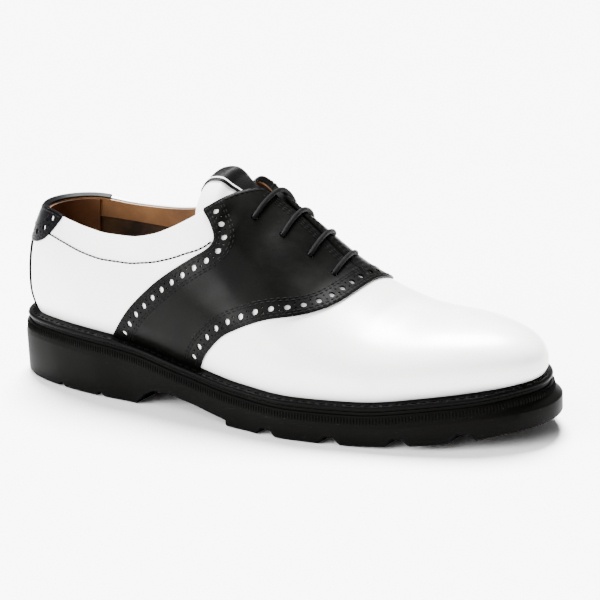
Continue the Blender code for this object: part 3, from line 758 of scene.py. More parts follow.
def stitch_rows(name, lines, lift, thread, pitch=STITCH_PITCH, length=STITCH_LENGTH,
                radius=STITCH_RADIUS):
    """Rows of stitches along lines, each thread a small bead pressed into the leather."""
    rows = []
    for line in lines:
        spots = walk(line, pitch)
        along, across, normal = directions(spots)
        rows.append((skin(spots[:, 0], spots[:, 1], lift + radius * 0.15),
                     along * length / 2, across * radius, normal * radius * 0.8))
    beads(name, rows, "lace_cord", thread)


# Perforated leather, cut flat and then drawn over the last

def hole_outline(station, girth, radius, corners):
    """Flat outline that becomes a round hole once the leather is on the last."""
    turn = np.linspace(0, 2 * math.pi, corners, endpoint=False)
    spot = np.repeat([[station, girth]], corners, axis=0)
    near = 0.001
    along, across, _ = directions(np.array([[station - near, girth], [station, girth],
                                            [station + near, girth]]))
    move = radius * (np.cos(turn)[:, None] * along[1] + np.sin(turn)[:, None] * across[1])
    return spot + chart_step(spot, move)


def punch(flat, holes, thick):
    """Cuts the holes into a flat piece: station, girth, radius and corners of each."""
    maker = bmesh.new()
    for station, girth, radius, corners in holes:
        ring = hole_outline(station, girth, radius, corners)
        add_prism(maker, *([(u * CHART_LONG, v * CHART_ROUND, z) for u, v in ring]
                           for z in (-thick, 2 * thick)))
    cut_away(flat, maker)


def overlay(name, parts, holes, slot, material, node):
    """Leather overlay: flat grids of chart places, welded, thickened, punched and lasted."""
    sheets = []
    for chart in parts:
        made, column, row = flat_grid(chart.shape[1] - 1, chart.shape[0] - 1)
        spots = chart[row, column] * (CHART_LONG, CHART_ROUND)
        move_points(made, np.column_stack((spots, np.zeros(len(spots)))))
        sheets.append(made)
    flat = sheets[0]
    select_only(*sheets)
    if len(sheets) > 1:
        bpy.ops.object.join()
    weld(flat)
    if flat.data.polygons[0].normal.z < 0:
        flat.data.flip_normals()
    thicken(flat, OVERLAY_THICK, offset=1.0, edge=OVERLAY_ROUND)
    punch(flat, holes, OVERLAY_THICK)
    u, v, height = get_points(flat).T
    move_points(flat, skin(u / CHART_LONG, v / CHART_ROUND, OVERLAY_LIFT + height))
    adopt(flat, name, slot, material, node, smooth=35)


def brogue_holes(line, inset):
    """Large holes along an edge, with a pair of pinholes between each two."""
    row = beside(line, inset)
    spots = walk(row, HOLE_PITCH, HOLE_MARGIN)
    holes = [(u, v, HOLE_RADIUS, HOLE_CORNERS) for u, v in spots]
    between = (spots[:-1] + spots[1:]) / 2
    across = directions(between)[1]
    for way in (-1, 1):
        moved = between + chart_step(between, across * PIN_SPREAD * way)
        holes += [(u, v, PIN_RADIUS, PIN_CORNERS) for u, v in moved]
    return holes


def saddle_lines(side):
    """The saddle's edges on one side: rear, along the collar, and front."""
    corner = by_side(SADDLE_CORNER, side)
    shares = np.linspace(corner, CORNER - 1e-6, 60)
    top = np.array([(station_of(s), side * top_girth(s, side)) for s in shares])
    rear = SADDLE_REAR + ((corner, top_girth(corner, side)),)
    return {"rear": smooth_line(rear, side), "top": even_line(top, 60),
            "front": smooth_line(SADDLE_FRONT, side)}


def saddle_chart(side, up=110, across=76, near=9):
    """Chart of one side of the saddle, from the welt up to the slit and the ridge."""
    lines = saddle_lines(side)
    rear = even_line(np.vstack((lines["rear"], lines["top"][1:])), up + 1)
    front = even_line(lines["front"], up + 1)
    base = (station_of(BASE) - rear[-1, 0]) / (front[-1, 0] - rear[-1, 0])
    before = round(across * base)
    share = np.append(np.linspace(0, base, before + 1),
                      np.linspace(base, 1, across - before + 1)[1:])
    chart = rear[:, None, :] + (front - rear)[:, None, :] * share[None, :, None]
    straight = chart[-1, :, 1].copy()
    chart[-1, :, 1] = [side * top_at(station, side) for station in chart[-1, :, 0]]
    for n in range(1, near):       # rows near the slit follow it
        chart[-1 - n, :, 1] += (chart[-1, :, 1] - straight) * (1 - n / near)**2
    return chart


def slit_line(side, inset):
    """Line beside the slit, on one facing."""
    found = []
    for share in np.linspace(CORNER + SLIT_MARGIN[0], BASE - SLIT_MARGIN[1], 60):
        station = station_of(share)
        girth = top_girth(share, side) + inset / surface.girth_length(station, side)
        found.append((station, side * girth))
    return np.array(found)


def edge_band(name, line, turn, slot, material):
    """Turned-in edge: a band from the overlay's outer face down past the lining."""
    line = beside(line, turn * EDGE_BAND)
    rows = 8
    made, column, row = flat_grid(len(line) - 1, rows)
    high = OVERLAY_LIFT + OVERLAY_THICK * 0.9
    low = -UPPER_THICK - LINING_THICK - EDGE_BAND_PLAY
    move_points(made, skin(line[column, 0], line[column, 1], low + (high - low) * row / rows))
    thicken(made, EDGE_BAND, offset=0.0, edge=EDGE_BAND_ROUND)
    weld(made)
    adopt(made, name, slot, material, smooth=50)


def saddle_rim(side):
    """The edge round the facing, from the saddle's rear corner to the slit's foot."""
    shares = np.linspace(by_side(SADDLE_CORNER, side) + 0.002, BASE, 160)
    return np.array([(station_of(s), side * top_girth(s, side)) for s in shares])


def make_saddle(leather, thread):
    """Saddle over both sides, with its holes, its turned-in edges and its seams."""
    holes = []
    rows = []
    for side, name in ((-1, "saddle_edge_outer"), (1, "saddle_edge_inner")):
        lines = saddle_lines(side)
        holes += brogue_holes(lines["rear"], side * HOLE_INSET)
        holes += brogue_holes(lines["front"], -side * HOLE_INSET)
        for inset in EDGE_ROWS + INNER_ROWS:
            rows.append(beside(lines["rear"], side * inset))
            rows.append(beside(lines["front"], -side * inset))
        rows.append(beside(lines["top"], side * EDGE_ROWS[0]))
        rows += [slit_line(side, inset) for inset in SLIT_ROWS]
        edge_band(name, saddle_rim(side), -side, "black_leather", leather)
        holes += [(*eyelet(number, side), LACE_HOLE, LACE_HOLE_CORNERS)
                  for number in range(len(EYELETS))]
    overlay("saddle_leather", [saddle_chart(-1), saddle_chart(1)], holes, "black_leather",
            leather, "saddle")
    stitch_rows("saddle_stitches", rows, OVERLAY_FACE, thread)


def tab_line(count, lower):
    """Line along the heel tab's top or lower edge, from the outer to the inner side."""
    found = []
    for t in np.linspace(-1, 1, count):
        end = by_side(TAB_END, t)
        station = station_of(end) * t
        girth = heel_top(station)
        if lower:
            girth = max(girth + TAB_LEAST, curve(TAB_EDGE, share_of(abs(station)) / end))
        found.append((station, girth))
    return np.array(found)


def tab_chart():
    """Chart of the heel tab above its lower edge."""
    top, edge = tab_line(101, False), tab_line(101, True)
    return top + (edge - top) * np.linspace(1, 0, 31)[:, None, None]


def strip_chart():
    """Chart of the strip down the back seam, its top a little under the tab's edge."""
    across = np.linspace(-STRIP_STATION, STRIP_STATION, 15)
    return np.array([[(s, girth) for s in across] for girth in np.linspace(*STRIP_GIRTHS, 40)])


def below_top(line):
    """The part of a line that lies well below the collar."""
    tops = np.array([heel_top(s) for s in line[:, 0]])
    return line[line[:, 1] > tops + SEAM_MARGIN]


def make_heel_tab(leather, thread):
    """Tab round the heel's collar and strip down the back, with holes, edge and seams."""
    edge = even_line(tab_line(121, True), 240)
    top = even_line(tab_line(121, False), 160)
    for name, chart, holes in (
            ("heel_tab_leather", tab_chart(), brogue_holes(edge, -HOLE_INSET)),
            ("heel_strip", strip_chart(), [])):
        overlay(name, [chart], holes, "patent_leather", leather, "heel_tab")
    edge_band("heel_tab_edge", top, -1, "patent_leather", leather)
    rows = [below_top(beside(edge, -inset)) for inset in EDGE_ROWS + INNER_ROWS[:1]]
    rows.append(beside(top, EDGE_ROWS[0]))
    for station in (-0.8 * STRIP_STATION, 0.8 * STRIP_STATION):
        rows.append(np.array([(station, girth) for girth in np.linspace(*STRIP_SEAMS, 60)]))
    stitch_rows("heel_tab_stitches", rows, OVERLAY_FACE, thread)


def make_collar_seam(thread):
    """Dark seam below the padded collar, from the heel tab to the saddle."""
    rows = []
    for side in (-1, 1):
        rows.append(np.array([
            (station_of(s), side * (top_girth(s, side) + curve(COLLAR_SEAM_DROP, s)))
            for s in np.linspace(*COLLAR_SEAM, 80)]))
    stitch_rows("collar_stitches", rows, SEAM_LIFT, thread, SEAM_PITCH, SEAM_LENGTH, SEAM_RADIUS)


# Tongue, label and lace

def tongue_spot(down, across, below):
    """Points of the tongue: down runs from its end (0) to its foot (1), across from edge
    to edge (-1 to 1), and below is the distance under its outer face."""
    end = TONGUE_TOP + TONGUE_ROUND * across**2
    first = np.arccos(1 - 2 * end) / np.pi
    station = first + (station_of(TONGUE_FOOT) - first) * down
    share = (1 - np.cos(np.pi * station)) / 2
    half = np.array([curve(TONGUE_WIDTH, s) for s in share]) * TONGUE_HALF
    length = np.array([surface.girth_length(s, d) for s, d in zip(station, across)])
    rise = np.array([curve(TONGUE_RISE, d) for d in share - end])
    lift = TONGUE_LIFT + rise * TONGUE_ARCH * (1 - across**2)
    return skin(station, across * half / length, lift - below)


def make_tongue(leather):
    """Padded tongue, thinner towards its end and its sides."""
    rows, columns = 90, 48
    made, column, row = flat_grid(columns, rows)
    across = column / columns * 2 - 1
    down = (row / rows)**1.5
    from_rim = np.minimum(down * TONGUE_RIM[0], (1 - np.abs(across)) * TONGUE_RIM[1])
    below = TONGUE_THIN * np.clip(1 - from_rim, 0, 1)**2
    lay(made, lambda up: tongue_spot(down, across, below - up))
    thicken(made, TONGUE_PADDING, edge=TONGUE_ROUND_EDGE)
    adopt(made, "tongue_leather", "tongue_leather", leather, "tongue")


def label_path():
    """Side view of the ribbon: down the tongue, distance below its face, turn round its end."""
    radius = TONGUE_THICK / 2 + GAP
    path = [(down, -GAP, 0.0) for down in np.linspace(LABEL_FOOT, 0, 30)]
    path += [(0.0, TONGUE_THICK / 2 - math.cos(turn) * radius, math.sin(turn) * radius)
             for turn in np.linspace(0, math.pi, 14)[1:]]
    path += [(down, TONGUE_THICK + GAP, 0.0) for down in np.linspace(0, LABEL_TAIL, 6)[1:]]
    return np.array(path)


def ribbon_spot(path, row, across, extra):
    """Points of the ribbon, lifted by an extra distance off its outer face."""
    down, below, out = path[row].T
    spot = tongue_spot(down, across, below - extra * np.where(below > TONGUE_THICK / 2, -1, 1))
    back = tongue_spot(down, across, below) - tongue_spot(down + 0.01, across, below)
    back /= np.linalg.norm(back, axis=1, keepdims=True)
    return spot + back * (out * (1 + extra / TONGUE_THICK * 2))[:, None]


def make_label(ribbon, piping):
    """Ribbon folded over the tongue's end, and the white piping on it."""
    path = label_path()
    rows = len(path) - 1
    tenth = tongue_spot(np.array([0.1, 0.1]), np.array([0.0, 0.1]), 0)
    half = LABEL_HALF * 0.1 / np.linalg.norm(np.diff(tenth, axis=0))
    columns = 20
    made, column, row = flat_grid(columns, rows)
    across = (column / columns * 2 - 1) * half
    lay(made, lambda up: ribbon_spot(path, row, across, up))
    thicken(made, RIBBON_THICK, offset=1.0, edge=RIBBON_ROUND)
    adopt(made, "label_ribbon", "label_ribbon", ribbon, "tongue_label")
    made, column, row = flat_grid(2, 29)    # the piping, on the part outside the tongue
    near = half * (PIPING_WIDE * column / 2 - PIPING_INSET)
    lay(made, lambda up: ribbon_spot(path, row, near, up), RIBBON_THICK)
    thicken(made, PIPING_THICK, offset=1.0)
    adopt(made, "label_piping", "tongue_leather", piping)


def lace_points():
    """One lace: bars over the throat from the top row down, the tail back up inside."""
    spots = []
    side = -1
    station, girth = eyelet(0, side)
    behind = station_of(EYELETS[0][0] + LACE_TAIL) - station_of(EYELETS[0][0])
    spots.append((station + behind, girth, UNDER_LIFT))
    spots.append((station + behind / 3, girth, UNDER_LIFT))
    for number in range(len(EYELETS)):
        here = np.array(eyelet(number, side))
        there = np.array(eyelet(number, -side))
        for lift in (UNDER_LIFT + LACE_RADIUS, 0.0, LACE_LIFT - LACE_RADIUS * 0.6):
            spots.append((*here, lift))
        for t in np.linspace(0.132, 0.868, 9):
            spots.append((*(here + (there - here) * t), LACE_LIFT))
        for lift in (LACE_LIFT - LACE_RADIUS * 0.6, 0.0, UNDER_LIFT + LACE_RADIUS):
            spots.append((*there, lift))
        side = -side
        if number + 1 < len(EYELETS):
            after = np.array(eyelet(number + 1, side))
            for t in (0.2, 0.5, 0.8):
                spots.append((*(there + (after - there) * t), UNDER_LIFT))
    low, high = np.array(eyelet(-1, side)), np.array(eyelet(0, side))
    for t in (0.08, 0.3, 0.5, 0.7, 0.9, 1.0):
        station, girth = low + (high - low) * t + (behind * 0.7 * t, 0)
        girth -= side * LACE_RAIL / surface.girth_length(station, side)
        spots.append((station, girth, UNDER_LIFT))
    spots = np.array(spots)
    return skin(spots[:, 0], spots[:, 1], spots[:, 2])


def make_lace(cord):
    """Round lace, swept along its points."""
    data = bpy.data.curves.new("lace", "CURVE")
    data.dimensions = "3D"
    data.bevel_depth = LACE_RADIUS
    data.bevel_resolution = 4
    data.resolution_u = 5
    data.use_fill_caps = True
    line = data.splines.new("NURBS")
    points = lace_points()
    line.points.add(len(points) - 1)
    for spot, point in zip(line.points, points):
        spot.co = (*point, 1)
    line.order_u = 3
    line.use_endpoint_u = True
    select_only(add_object("lace_curve", data))
    bpy.ops.object.convert(target="MESH")
    adopt(bpy.context.object, "lace_cord", "lace_cord", cord, "lace", smooth=60)


# Sole, welt and insole

def sole_side(share):
    """How far the sole's side stands out beside the upper."""
    return curve(REACH, share) * SOLE_REACH


def sole_bottom(share):
    return curve(SPRING, share) * TOE_SPRING


def sole_top(share):
    return feather(share) - WELT_THICK - GAP


def loft_round(name, steps, sections, capped):
    """Solid from loops around the shoe; each section gives the place of a station."""
    at = stations(*steps)
    maker = bmesh.new()
    loops = []
    for section in sections:
        left = [maker.verts.new(section(station, -1)) for station in at]
        right = [maker.verts.new(section(station, 1)) for station in at[1:-1]]
        loops.append(left + right[::-1])
    count = len(loops[0])
    pairs = list(zip(loops, loops[1:]))
    if not capped:
        pairs.append((loops[-1], loops[0]))
    for low, high in pairs:
        for j in range(count):
            after = (j + 1) % count
            maker.faces.new((low[j], low[after], high[after], high[j]))
    if capped:
        for loop in (loops[0], loops[-1]):
            for j in range(len(at) - 1):
                corners = [loop[j], loop[j + 1], loop[(-j - 1) % count], loop[(-j) % count]]
                maker.faces.new(list(dict.fromkeys(corners)))
    return closed_object(name, maker)


def toe_draw(share):
    """How far the sole's upper part is drawn in at the toe."""
    t = min(max((share - TOE_DRAW_FROM) / (1 - TOE_DRAW_FROM), 0), 1)
    return TOE_DRAW * t * t * (3 - 2 * t)


def side_loop(setback, base, rise):
    """Loop around the sole: distance behind its side, height from its bottom or its top."""
    def place(station, side):
        share = share_of(station)
        drawn = toe_draw(share) * min(setback / RIB_STEP, 1)
        spot = outline(station, side, sole_side(share) - setback - drawn)
        return (*spot, base(share) + rise)
    return place


def notch_corners(share, depth, wide, narrow):
    """Corners of a notch in X and Z, wider below than at its roof."""
    x = share * LAST_LENGTH - HEEL_CENTRE
    floor = sole_bottom(share)
    slope = (wide - narrow) / 2
    return ((x - wide / 2 - slope, floor - depth), (x - narrow / 2, floor + depth),
            (x + narrow / 2, floor + depth), (x + wide / 2 + slope, floor - depth))


def cut_sole(made):
    """Arch and notches, each cut by a prism across the sole."""
    arch = [(share * LAST_LENGTH - HEEL_CENTRE, rise * ARCH_HEIGHT) for share, rise in ARCH]
    arch += [(arch[-1][0], -ARCH_HEIGHT), (arch[0][0], -ARCH_HEIGHT)]
    heel_narrow = HEEL_LUG_WIDE * LUG_NARROW / LUG_WIDE
    notches = [(share, LUG_DEPTH, LUG_WIDE, LUG_NARROW) for share in FRONT_LUGS]
    notches += [(share, HEEL_LUG_DEPTH, HEEL_LUG_WIDE, heel_narrow) for share in HEEL_LUGS]
    cuts = []
    for notch in notches:
        for side in (-1, 1):
            edge = outline(station_of(notch[0]), side, sole_side(notch[0]))[1]
            cuts.append((notch_corners(*notch), LUG_RUN, edge))
    for group in ([(arch, BALL_WIDTH, 0)], cuts):
        maker = bmesh.new()
        for corners, half_width, middle in group:
            add_prism(maker, *([(x, middle + y, z) for x, z in corners]
                               for y in (-half_width, half_width)))
        cut_away(made, maker)


def make_outsole(rubber):
    """Sole with a round tread edge, a plain side, a stepped band and a groove under the welt."""
    band = RIB_HEIGHT + GROOVE_HEIGHT
    loops = []
    for turn in np.linspace(0, math.pi / 2, 6):    # the tread's round edge
        loops.append(side_loop(SIDE_EDGE * (1 - math.sin(turn)), sole_bottom,
                               SIDE_EDGE * 1.3 * (1 - math.cos(turn))))
    for setback, drop in (                         # up the side: setback, distance below the top
            (0.0, band + RIB_STEP * 1.6),
            (RIB_STEP * 0.12, band + RIB_STEP * 0.9),
            (RIB_STEP * 0.55, band - RIB_STEP * 0.3),
            (RIB_STEP * 1.0, band - RIB_STEP * 1.8),
            (RIB_STEP * 1.5, GROOVE_HEIGHT + RIB_STEP),
            (RIB_STEP * 2.4, GROOVE_HEIGHT),
            (GROOVE_DEPTH, GROOVE_HEIGHT * 0.9),
            (GROOVE_DEPTH, 0.0)):
        loops.append(side_loop(setback, sole_top, -drop))
    made = loft_round("outsole_rubber", SOLE_STEPS, loops, True)
    cut_sole(made)
    adopt(made, "outsole_rubber", "sole_rubber", rubber, "outsole", smooth=32)


def rib_side(share):
    """Where the ribs' middles stand on the band, beside the upper."""
    return sole_side(share) - RIB_STEP * 1.35 - toe_draw(share)


def make_ribs(rubber):
    """Fine upright ribs on the band above the sole's plain side."""
    at = stations(*SOLE_STEPS)
    rows = []
    for side in (-1, 1):
        run = run_along(np.array([outline(s, side, rib_side(share_of(s))) for s in at]))
        for station in np.interp(even_runs(run[-1], RIB_PITCH), run, at):
            share = share_of(station)
            here = outline(station, side, rib_side(share))
            out = outline(station, side, sole_side(share)) - here
            out /= np.linalg.norm(out)
            middle = sole_top(share) - GROOVE_HEIGHT - RIB_STEP * 0.8 - RIB_HEIGHT / 2
            rows.append(((*here, middle), (0, 0, RIB_HALF_HEIGHT),
                         (-out[1] * RIB_HALF_WIDTH, out[0] * RIB_HALF_WIDTH, 0),
                         (*(out * RIB_PROUD), 0)))
    beads("outsole_ribs", rows, "sole_rubber", rubber)


def welt_place(from_side, from_feather, z):
    """Loop around the welt: distance behind the sole's side, or else outside the feather line."""
    def spot(station, side):
        share = share_of(station)
        out = from_feather
        if from_side is not None:
            out = sole_side(share) - from_side - toe_draw(share)
        return (*outline(station, side, out), feather(share) - GAP + z)
    return spot


def make_welt(rubber, thread):
    """Welt with a round bead, a stitched ledge and a lip beside the upper."""
    bead = WELT_THICK - GAP
    loops = [welt_place(None, -WALL, -bead), welt_place(WELT_SETBACK * 1.7, 0, -bead)]
    for turn in np.linspace(-math.pi / 2, math.pi / 2, 7):    # the bead's round side
        loops.append(welt_place(WELT_SETBACK + bead * 0.42 * (1 - math.cos(turn)), 0,
                                -bead * 0.5 + bead * 0.45 * math.sin(turn)))
    loops += [
        welt_place(WELT_SETBACK + WELT_LEDGE, 0, -WELT_LEDGE_DEPTH),
        welt_place(None, WELT_LIP[0], -WELT_LEDGE_DEPTH),
        welt_place(None, WELT_LIP[1], 0.0),
        welt_place(None, -WALL, 0.0),
    ]
    made = loft_round("welt_rubber", SOLE_STEPS, loops, False)
    adopt(made, "welt_rubber", "welt_rubber", rubber, "welt", smooth=50)
    make_welt_stitches(thread)


def make_welt_stitches(thread):
    """Row of stitches all round on the welt's ledge."""
    ledge = welt_place(WELT_SETBACK + WELT_STITCH_SETBACK, 0, -WELT_STITCH_DEPTH)
    half_width, half_height = WELT_STITCH_HALF
    rows = []
    for side in (-1, 1):
        line = np.array([ledge(station, side) for station in stations(*SOLE_STEPS)])
        run = run_along(line)
        goal = even_runs(run[-1], WELT_STITCH_PITCH)
        place = at_runs(goal, run, line)
        way = at_runs(goal + PROBE, run, line) - place
        way /= np.linalg.norm(way, axis=1, keepdims=True)
        rows.append((place, way * WELT_STITCH_PITCH * 0.40, np.cross(way, (0, 0, half_width)),
                     np.repeat([[0, 0, half_height]], len(goal), axis=0)))
    beads("welt_stitches", rows, "lace_cord", thread)


def make_insole(leather):
    """Insole with a soft upper edge."""
    def place(setback, height):
        def spot(station, side):
            low = sole_top(share_of(station)) + GAP
            return (*outline(station, side, -WALL - GAP - setback), low + height)
        return spot

    soft = INSOLE_THICK * 0.25
    made = loft_round("insole_sock", INSOLE_STEPS, (
        place(0, 0),
        place(0, INSOLE_THICK - soft),
        place(soft * 0.3, INSOLE_THICK - soft * 0.3),
        place(soft, INSOLE_THICK),
    ), True)
    adopt(made, "insole_sock", "insole_leather", leather, "insole")


# Materials: a leather drifts between two colours; scales are waves or cells in a metre

WHITE = ((0.80, 0.80, 0.785), (0.84, 0.84, 0.83))
BLACK = ((0.0010, 0.0010, 0.0009), (0.0017, 0.0017, 0.0014))
PATENT_BLACK = ((0.0010, 0.0011, 0.0015), (0.0015, 0.0016, 0.0021))
TAN = ((0.10, 0.042, 0.013), (0.19, 0.09, 0.032))
# darker copy of the tan, for the lining below the collar band: painted shade low inside the shoe
PAINTED_SHADE_TAN = ((0.012, 0.006, 0.003), (0.075, 0.038, 0.016))
HEEL_TAN = ((0.050, 0.018, 0.008), (0.120, 0.050, 0.020))
SOLE_BLACK = (0.0014, 0.0014, 0.0012)
WELT_BLACK = (0.0012, 0.0012, 0.0011)
FIBRE_BLACK = (0.0018, 0.0018, 0.0018)
FIBRE_WHITE = (0.75, 0.75, 0.74)
PAPER_WHITE = (0.93, 0.93, 0.93)
GRAIN_SCALE = 1500
GRAIN_DEPTH = 0.00012
MOTTLE_SCALE = 38
POLISH_SCALE = 90
WAVE_SCALE = 60
WAVE_DEPTH = 0.0012
WAVE_STRENGTH = 0.12
SPECKLE_SCALE = 900
SPECKLE_DEPTH = 0.00010
SPECKLE_STRENGTH = 0.25
DUST_SCALE = 30
RUBBER_SHINE = 0.022
FIBRE_SHINE = 0.04
WEAVE_STRENGTH = 0.8
NOISE_RANGE = (0.3, 0.7)     # most of a noise lies in it
COLOUR_STOPS = (0.35, 0.65)


def set_values(node, values):
    """Sets a node's sockets, an underscore for a space, or else its properties."""
    for key, value in values.items():
        socket = key.replace("_", " ")
        if socket in node.inputs:
            node.inputs[socket].default_value = value
        else:
            setattr(node, key, value)


def shader_material(name, colour, roughness, **settings):
    """A new material, its node tree and its shader."""
    made = bpy.data.materials.new(name)
    made.use_nodes = True
    shader = made.node_tree.nodes["Principled BSDF"]
    set_values(shader, {"Base_Color": (*colour, 1), "Roughness": roughness, **settings})
    return made, made.node_tree, shader


def add_node(tree, kind, **values):
    node = tree.nodes.new(kind)
    set_values(node, values)
    return node


def place_texture(tree, kind, scale, **values):
    """Texture read from the object's own coordinates."""
    where = tree.nodes.get("Texture Coordinate") or tree.nodes.new("ShaderNodeTexCoord")
    node = add_node(tree, kind, Scale=scale, **values)
    tree.links.new(where.outputs["Object"], node.inputs["Vector"])
    return node


def bump(tree, shader, height, strength, distance, before=None):
    """Fine relief in the surface, on top of an earlier one."""
    node = add_node(tree, "ShaderNodeBump", Strength=strength, Distance=distance)
    tree.links.new(height, node.inputs["Height"])
    if before:
        tree.links.new(before.outputs["Normal"], node.inputs["Normal"])
    tree.links.new(node.outputs["Normal"], shader.inputs["Normal"])
    return node


def vary_roughness(tree, shader, noise, low, high):
    """Roughness that drifts between two values with a noise."""
    node = add_node(tree, "ShaderNodeMapRange", From_Min=NOISE_RANGE[0],
                    From_Max=NOISE_RANGE[1], To_Min=low, To_Max=high)
    tree.links.new(noise.outputs["Fac"], node.inputs["Value"])
    tree.links.new(node.outputs["Result"], shader.inputs["Roughness"])


def vary_colour(tree, shader, noise, first, second):
    """Colour that drifts between two with a noise."""
    node = add_node(tree, "ShaderNodeValToRGB")
    for stop, position, colour in zip(node.color_ramp.elements, COLOUR_STOPS, (first, second)):
        stop.position = position
        stop.color = (*colour, 1)
    tree.links.new(noise.outputs["Fac"], node.inputs["Fac"])
    tree.links.new(node.outputs["Color"], shader.inputs["Base Color"])


def leather(name, first, second, roughness, coat, grain, coat_roughness=0.25, shine=0.5):
    """Finished leather: fine cell grain, soft mottling, uneven polish."""
    made, tree, shader = shader_material(name, first, roughness, Coat_Weight=coat,
                                         Coat_Roughness=coat_roughness,
                                         Specular_IOR_Level=shine)
    mottle = place_texture(tree, "ShaderNodeTexNoise", MOTTLE_SCALE, Detail=4)
    vary_colour(tree, shader, mottle, first, second)
    polish = place_texture(tree, "ShaderNodeTexNoise", POLISH_SCALE, Detail=3)
    vary_roughness(tree, shader, polish, roughness * 0.88, roughness * 1.15)
    cells = place_texture(tree, "ShaderNodeTexVoronoi", GRAIN_SCALE, feature="DISTANCE_TO_EDGE")
    fine = bump(tree, shader, cells.outputs["Distance"], grain, GRAIN_DEPTH)
    waves = place_texture(tree, "ShaderNodeTexNoise", WAVE_SCALE, Detail=3)
    bump(tree, shader, waves.outputs["Fac"], WAVE_STRENGTH, WAVE_DEPTH, fine)
    return made


def moulded_rubber(name, colour, roughness):
    """Matt rubber: fine speckle, and a dustier or cleaner surface here and there."""
    made, tree, shader = shader_material(name, colour, roughness,
                                         Specular_IOR_Level=RUBBER_SHINE)
    speckle = place_texture(tree, "ShaderNodeTexNoise", SPECKLE_SCALE, Detail=4)
    bump(tree, shader, speckle.outputs["Fac"], SPECKLE_STRENGTH, SPECKLE_DEPTH)
    dust = place_texture(tree, "ShaderNodeTexNoise", DUST_SCALE, Detail=5)
    vary_roughness(tree, shader, dust, roughness * 0.85, roughness * 1.12)
    return made


def woven(name, colour, roughness, scale, depth):
    """Thread, cord or ribbon: fine slanting ridges."""
    made, tree, shader = shader_material(name, colour, roughness,
                                         Specular_IOR_Level=FIBRE_SHINE)
    wave = place_texture(tree, "ShaderNodeTexWave", scale, wave_type="BANDS",
                         bands_direction="DIAGONAL")
    bump(tree, shader, wave.outputs["Fac"], WEAVE_STRENGTH, depth)
    return made


def make_all():
    """Every material, and then every piece from it."""
    white = leather("white leather", *WHITE, roughness=0.36, coat=0.25, grain=0.10)
    pale = leather("tongue leather", *WHITE, roughness=0.40, coat=0.15, grain=0.15)
    black = leather("black leather", *BLACK, roughness=0.31, coat=0.01, grain=0.36,
                    coat_roughness=0.22, shine=0.030)
    patent = leather("black patent leather", *PATENT_BLACK, roughness=0.42, coat=0.0,
                     grain=0.10, shine=0.022)
    tan = leather("tan lining leather", *TAN, roughness=0.60, coat=0.0, grain=0.4)
    # painted shade: the lining below the collar band is a darker copy of the tan lining
    dark = leather("lining leather with painted shade", *PAINTED_SHADE_TAN, roughness=0.7, coat=0.0, grain=0.4,
                   shine=0.2)
    heel = leather("heel lining leather", *HEEL_TAN, roughness=0.6, coat=0.0, grain=0.4,
                   shine=0.3)
    sole = moulded_rubber("sole rubber", SOLE_BLACK, roughness=0.55)
    rand = moulded_rubber("welt rubber", WELT_BLACK, roughness=0.42)
    thread = woven("black thread", FIBRE_BLACK, roughness=0.50, scale=2600, depth=0.00006)
    cord = woven("lace cord", FIBRE_BLACK, roughness=0.55, scale=1500, depth=0.00018)
    ribbon = woven("label ribbon", FIBRE_BLACK, roughness=0.42, scale=2200, depth=0.00005)
    piping = woven("white piping", FIBRE_WHITE, roughness=0.60, scale=2200, depth=0.00004)
    make_upper(white, tan, dark, heel)
    make_saddle(black, thread)
    make_heel_tab(patent, thread)
    make_collar_seam(thread)
    make_tongue(pale)
    make_label(ribbon, piping)
    make_lace(cord)
    make_outsole(sole)
    make_ribs(sole)
    make_welt(rand, thread)
    make_insole(tan)


# Camera, light and floor

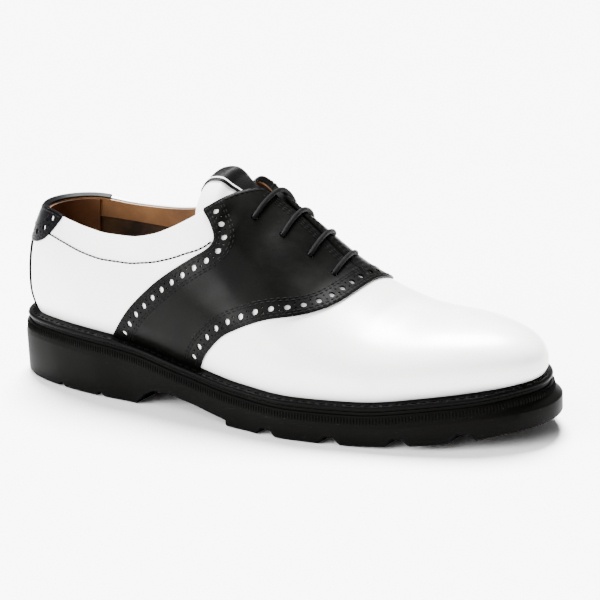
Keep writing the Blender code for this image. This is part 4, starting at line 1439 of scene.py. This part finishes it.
CAMERA_AZIMUTH = math.radians(33.31)
CAMERA_ELEVATION = math.radians(16.76)
CAMERA_ROLL = math.radians(-2.52)
CAMERA_DISTANCE = 1.1026
CAMERA_TARGET = Vector((0.1308, 0.0, 0.0529))
CAMERA_LENS = 130.55
CAMERA_SENSOR = 36
SUNS = (    # name, direction, width in degrees, power
    ("window", (-0.30, 0.50, 1.0), 26, 28.0),
    ("front", (-0.3, -1.0, 0.9), 60, 4.6),
    ("side", (-0.6, -0.75, 0.34), 26, 4.2),
)
WORLD_STRENGTH = 0.3
FLOOR_SIZE = 8
FLOOR_PLACE = (0.12, 0, -0.0003)    # a hair low, so that it never cuts the tread's faces


def make_camera():
    """Camera at the photo's angle, turned about its own axis by the roll."""
    back = Vector((math.sin(CAMERA_AZIMUTH) * math.cos(CAMERA_ELEVATION),
                   -math.cos(CAMERA_AZIMUTH) * math.cos(CAMERA_ELEVATION),
                   math.sin(CAMERA_ELEVATION)))
    right = Vector((math.cos(CAMERA_AZIMUTH), math.sin(CAMERA_AZIMUTH), 0))
    up = back.cross(right)
    across = right * math.cos(CAMERA_ROLL) + up * math.sin(CAMERA_ROLL)
    upright = up * math.cos(CAMERA_ROLL) - right * math.sin(CAMERA_ROLL)
    turn = Matrix((across, upright, back)).transposed().to_4x4()
    camera = add_object("camera", bpy.data.cameras.new("camera"))
    camera.matrix_world = Matrix.Translation(CAMERA_TARGET + back * CAMERA_DISTANCE) @ turn
    camera.data.lens = CAMERA_LENS
    camera.data.sensor_width = CAMERA_SENSOR
    bpy.context.scene.camera = camera


def sun_light(name, way, width, power):
    """Even soft light from a direction; its width is an angle in degrees."""
    light = bpy.data.lights.new(name, "SUN")
    light.energy = power
    light.angle = math.radians(width)
    add_object(name, light).rotation_euler = Vector(way).to_track_quat("Z", "Y").to_euler()


def make_studio():
    """Plain pale floor, soft suns and an even white world."""
    bpy.ops.object.select_all(action="DESELECT")
    bpy.ops.mesh.primitive_plane_add(size=FLOOR_SIZE, location=FLOOR_PLACE)
    floor = bpy.context.object
    floor.name = "studio_floor"
    floor.data.materials.append(shader_material("floor paper", PAPER_WHITE, 0.85)[0])
    for sun in SUNS:
        sun_light(*sun)
    scene = bpy.context.scene
    scene.world = scene.world or bpy.data.worlds.new("studio")
    scene.world.use_nodes = True
    set_values(scene.world.node_tree.nodes["Background"],
               {"Color": (1, 1, 1, 1), "Strength": WORLD_STRENGTH})


make_camera()
make_studio()
make_all()
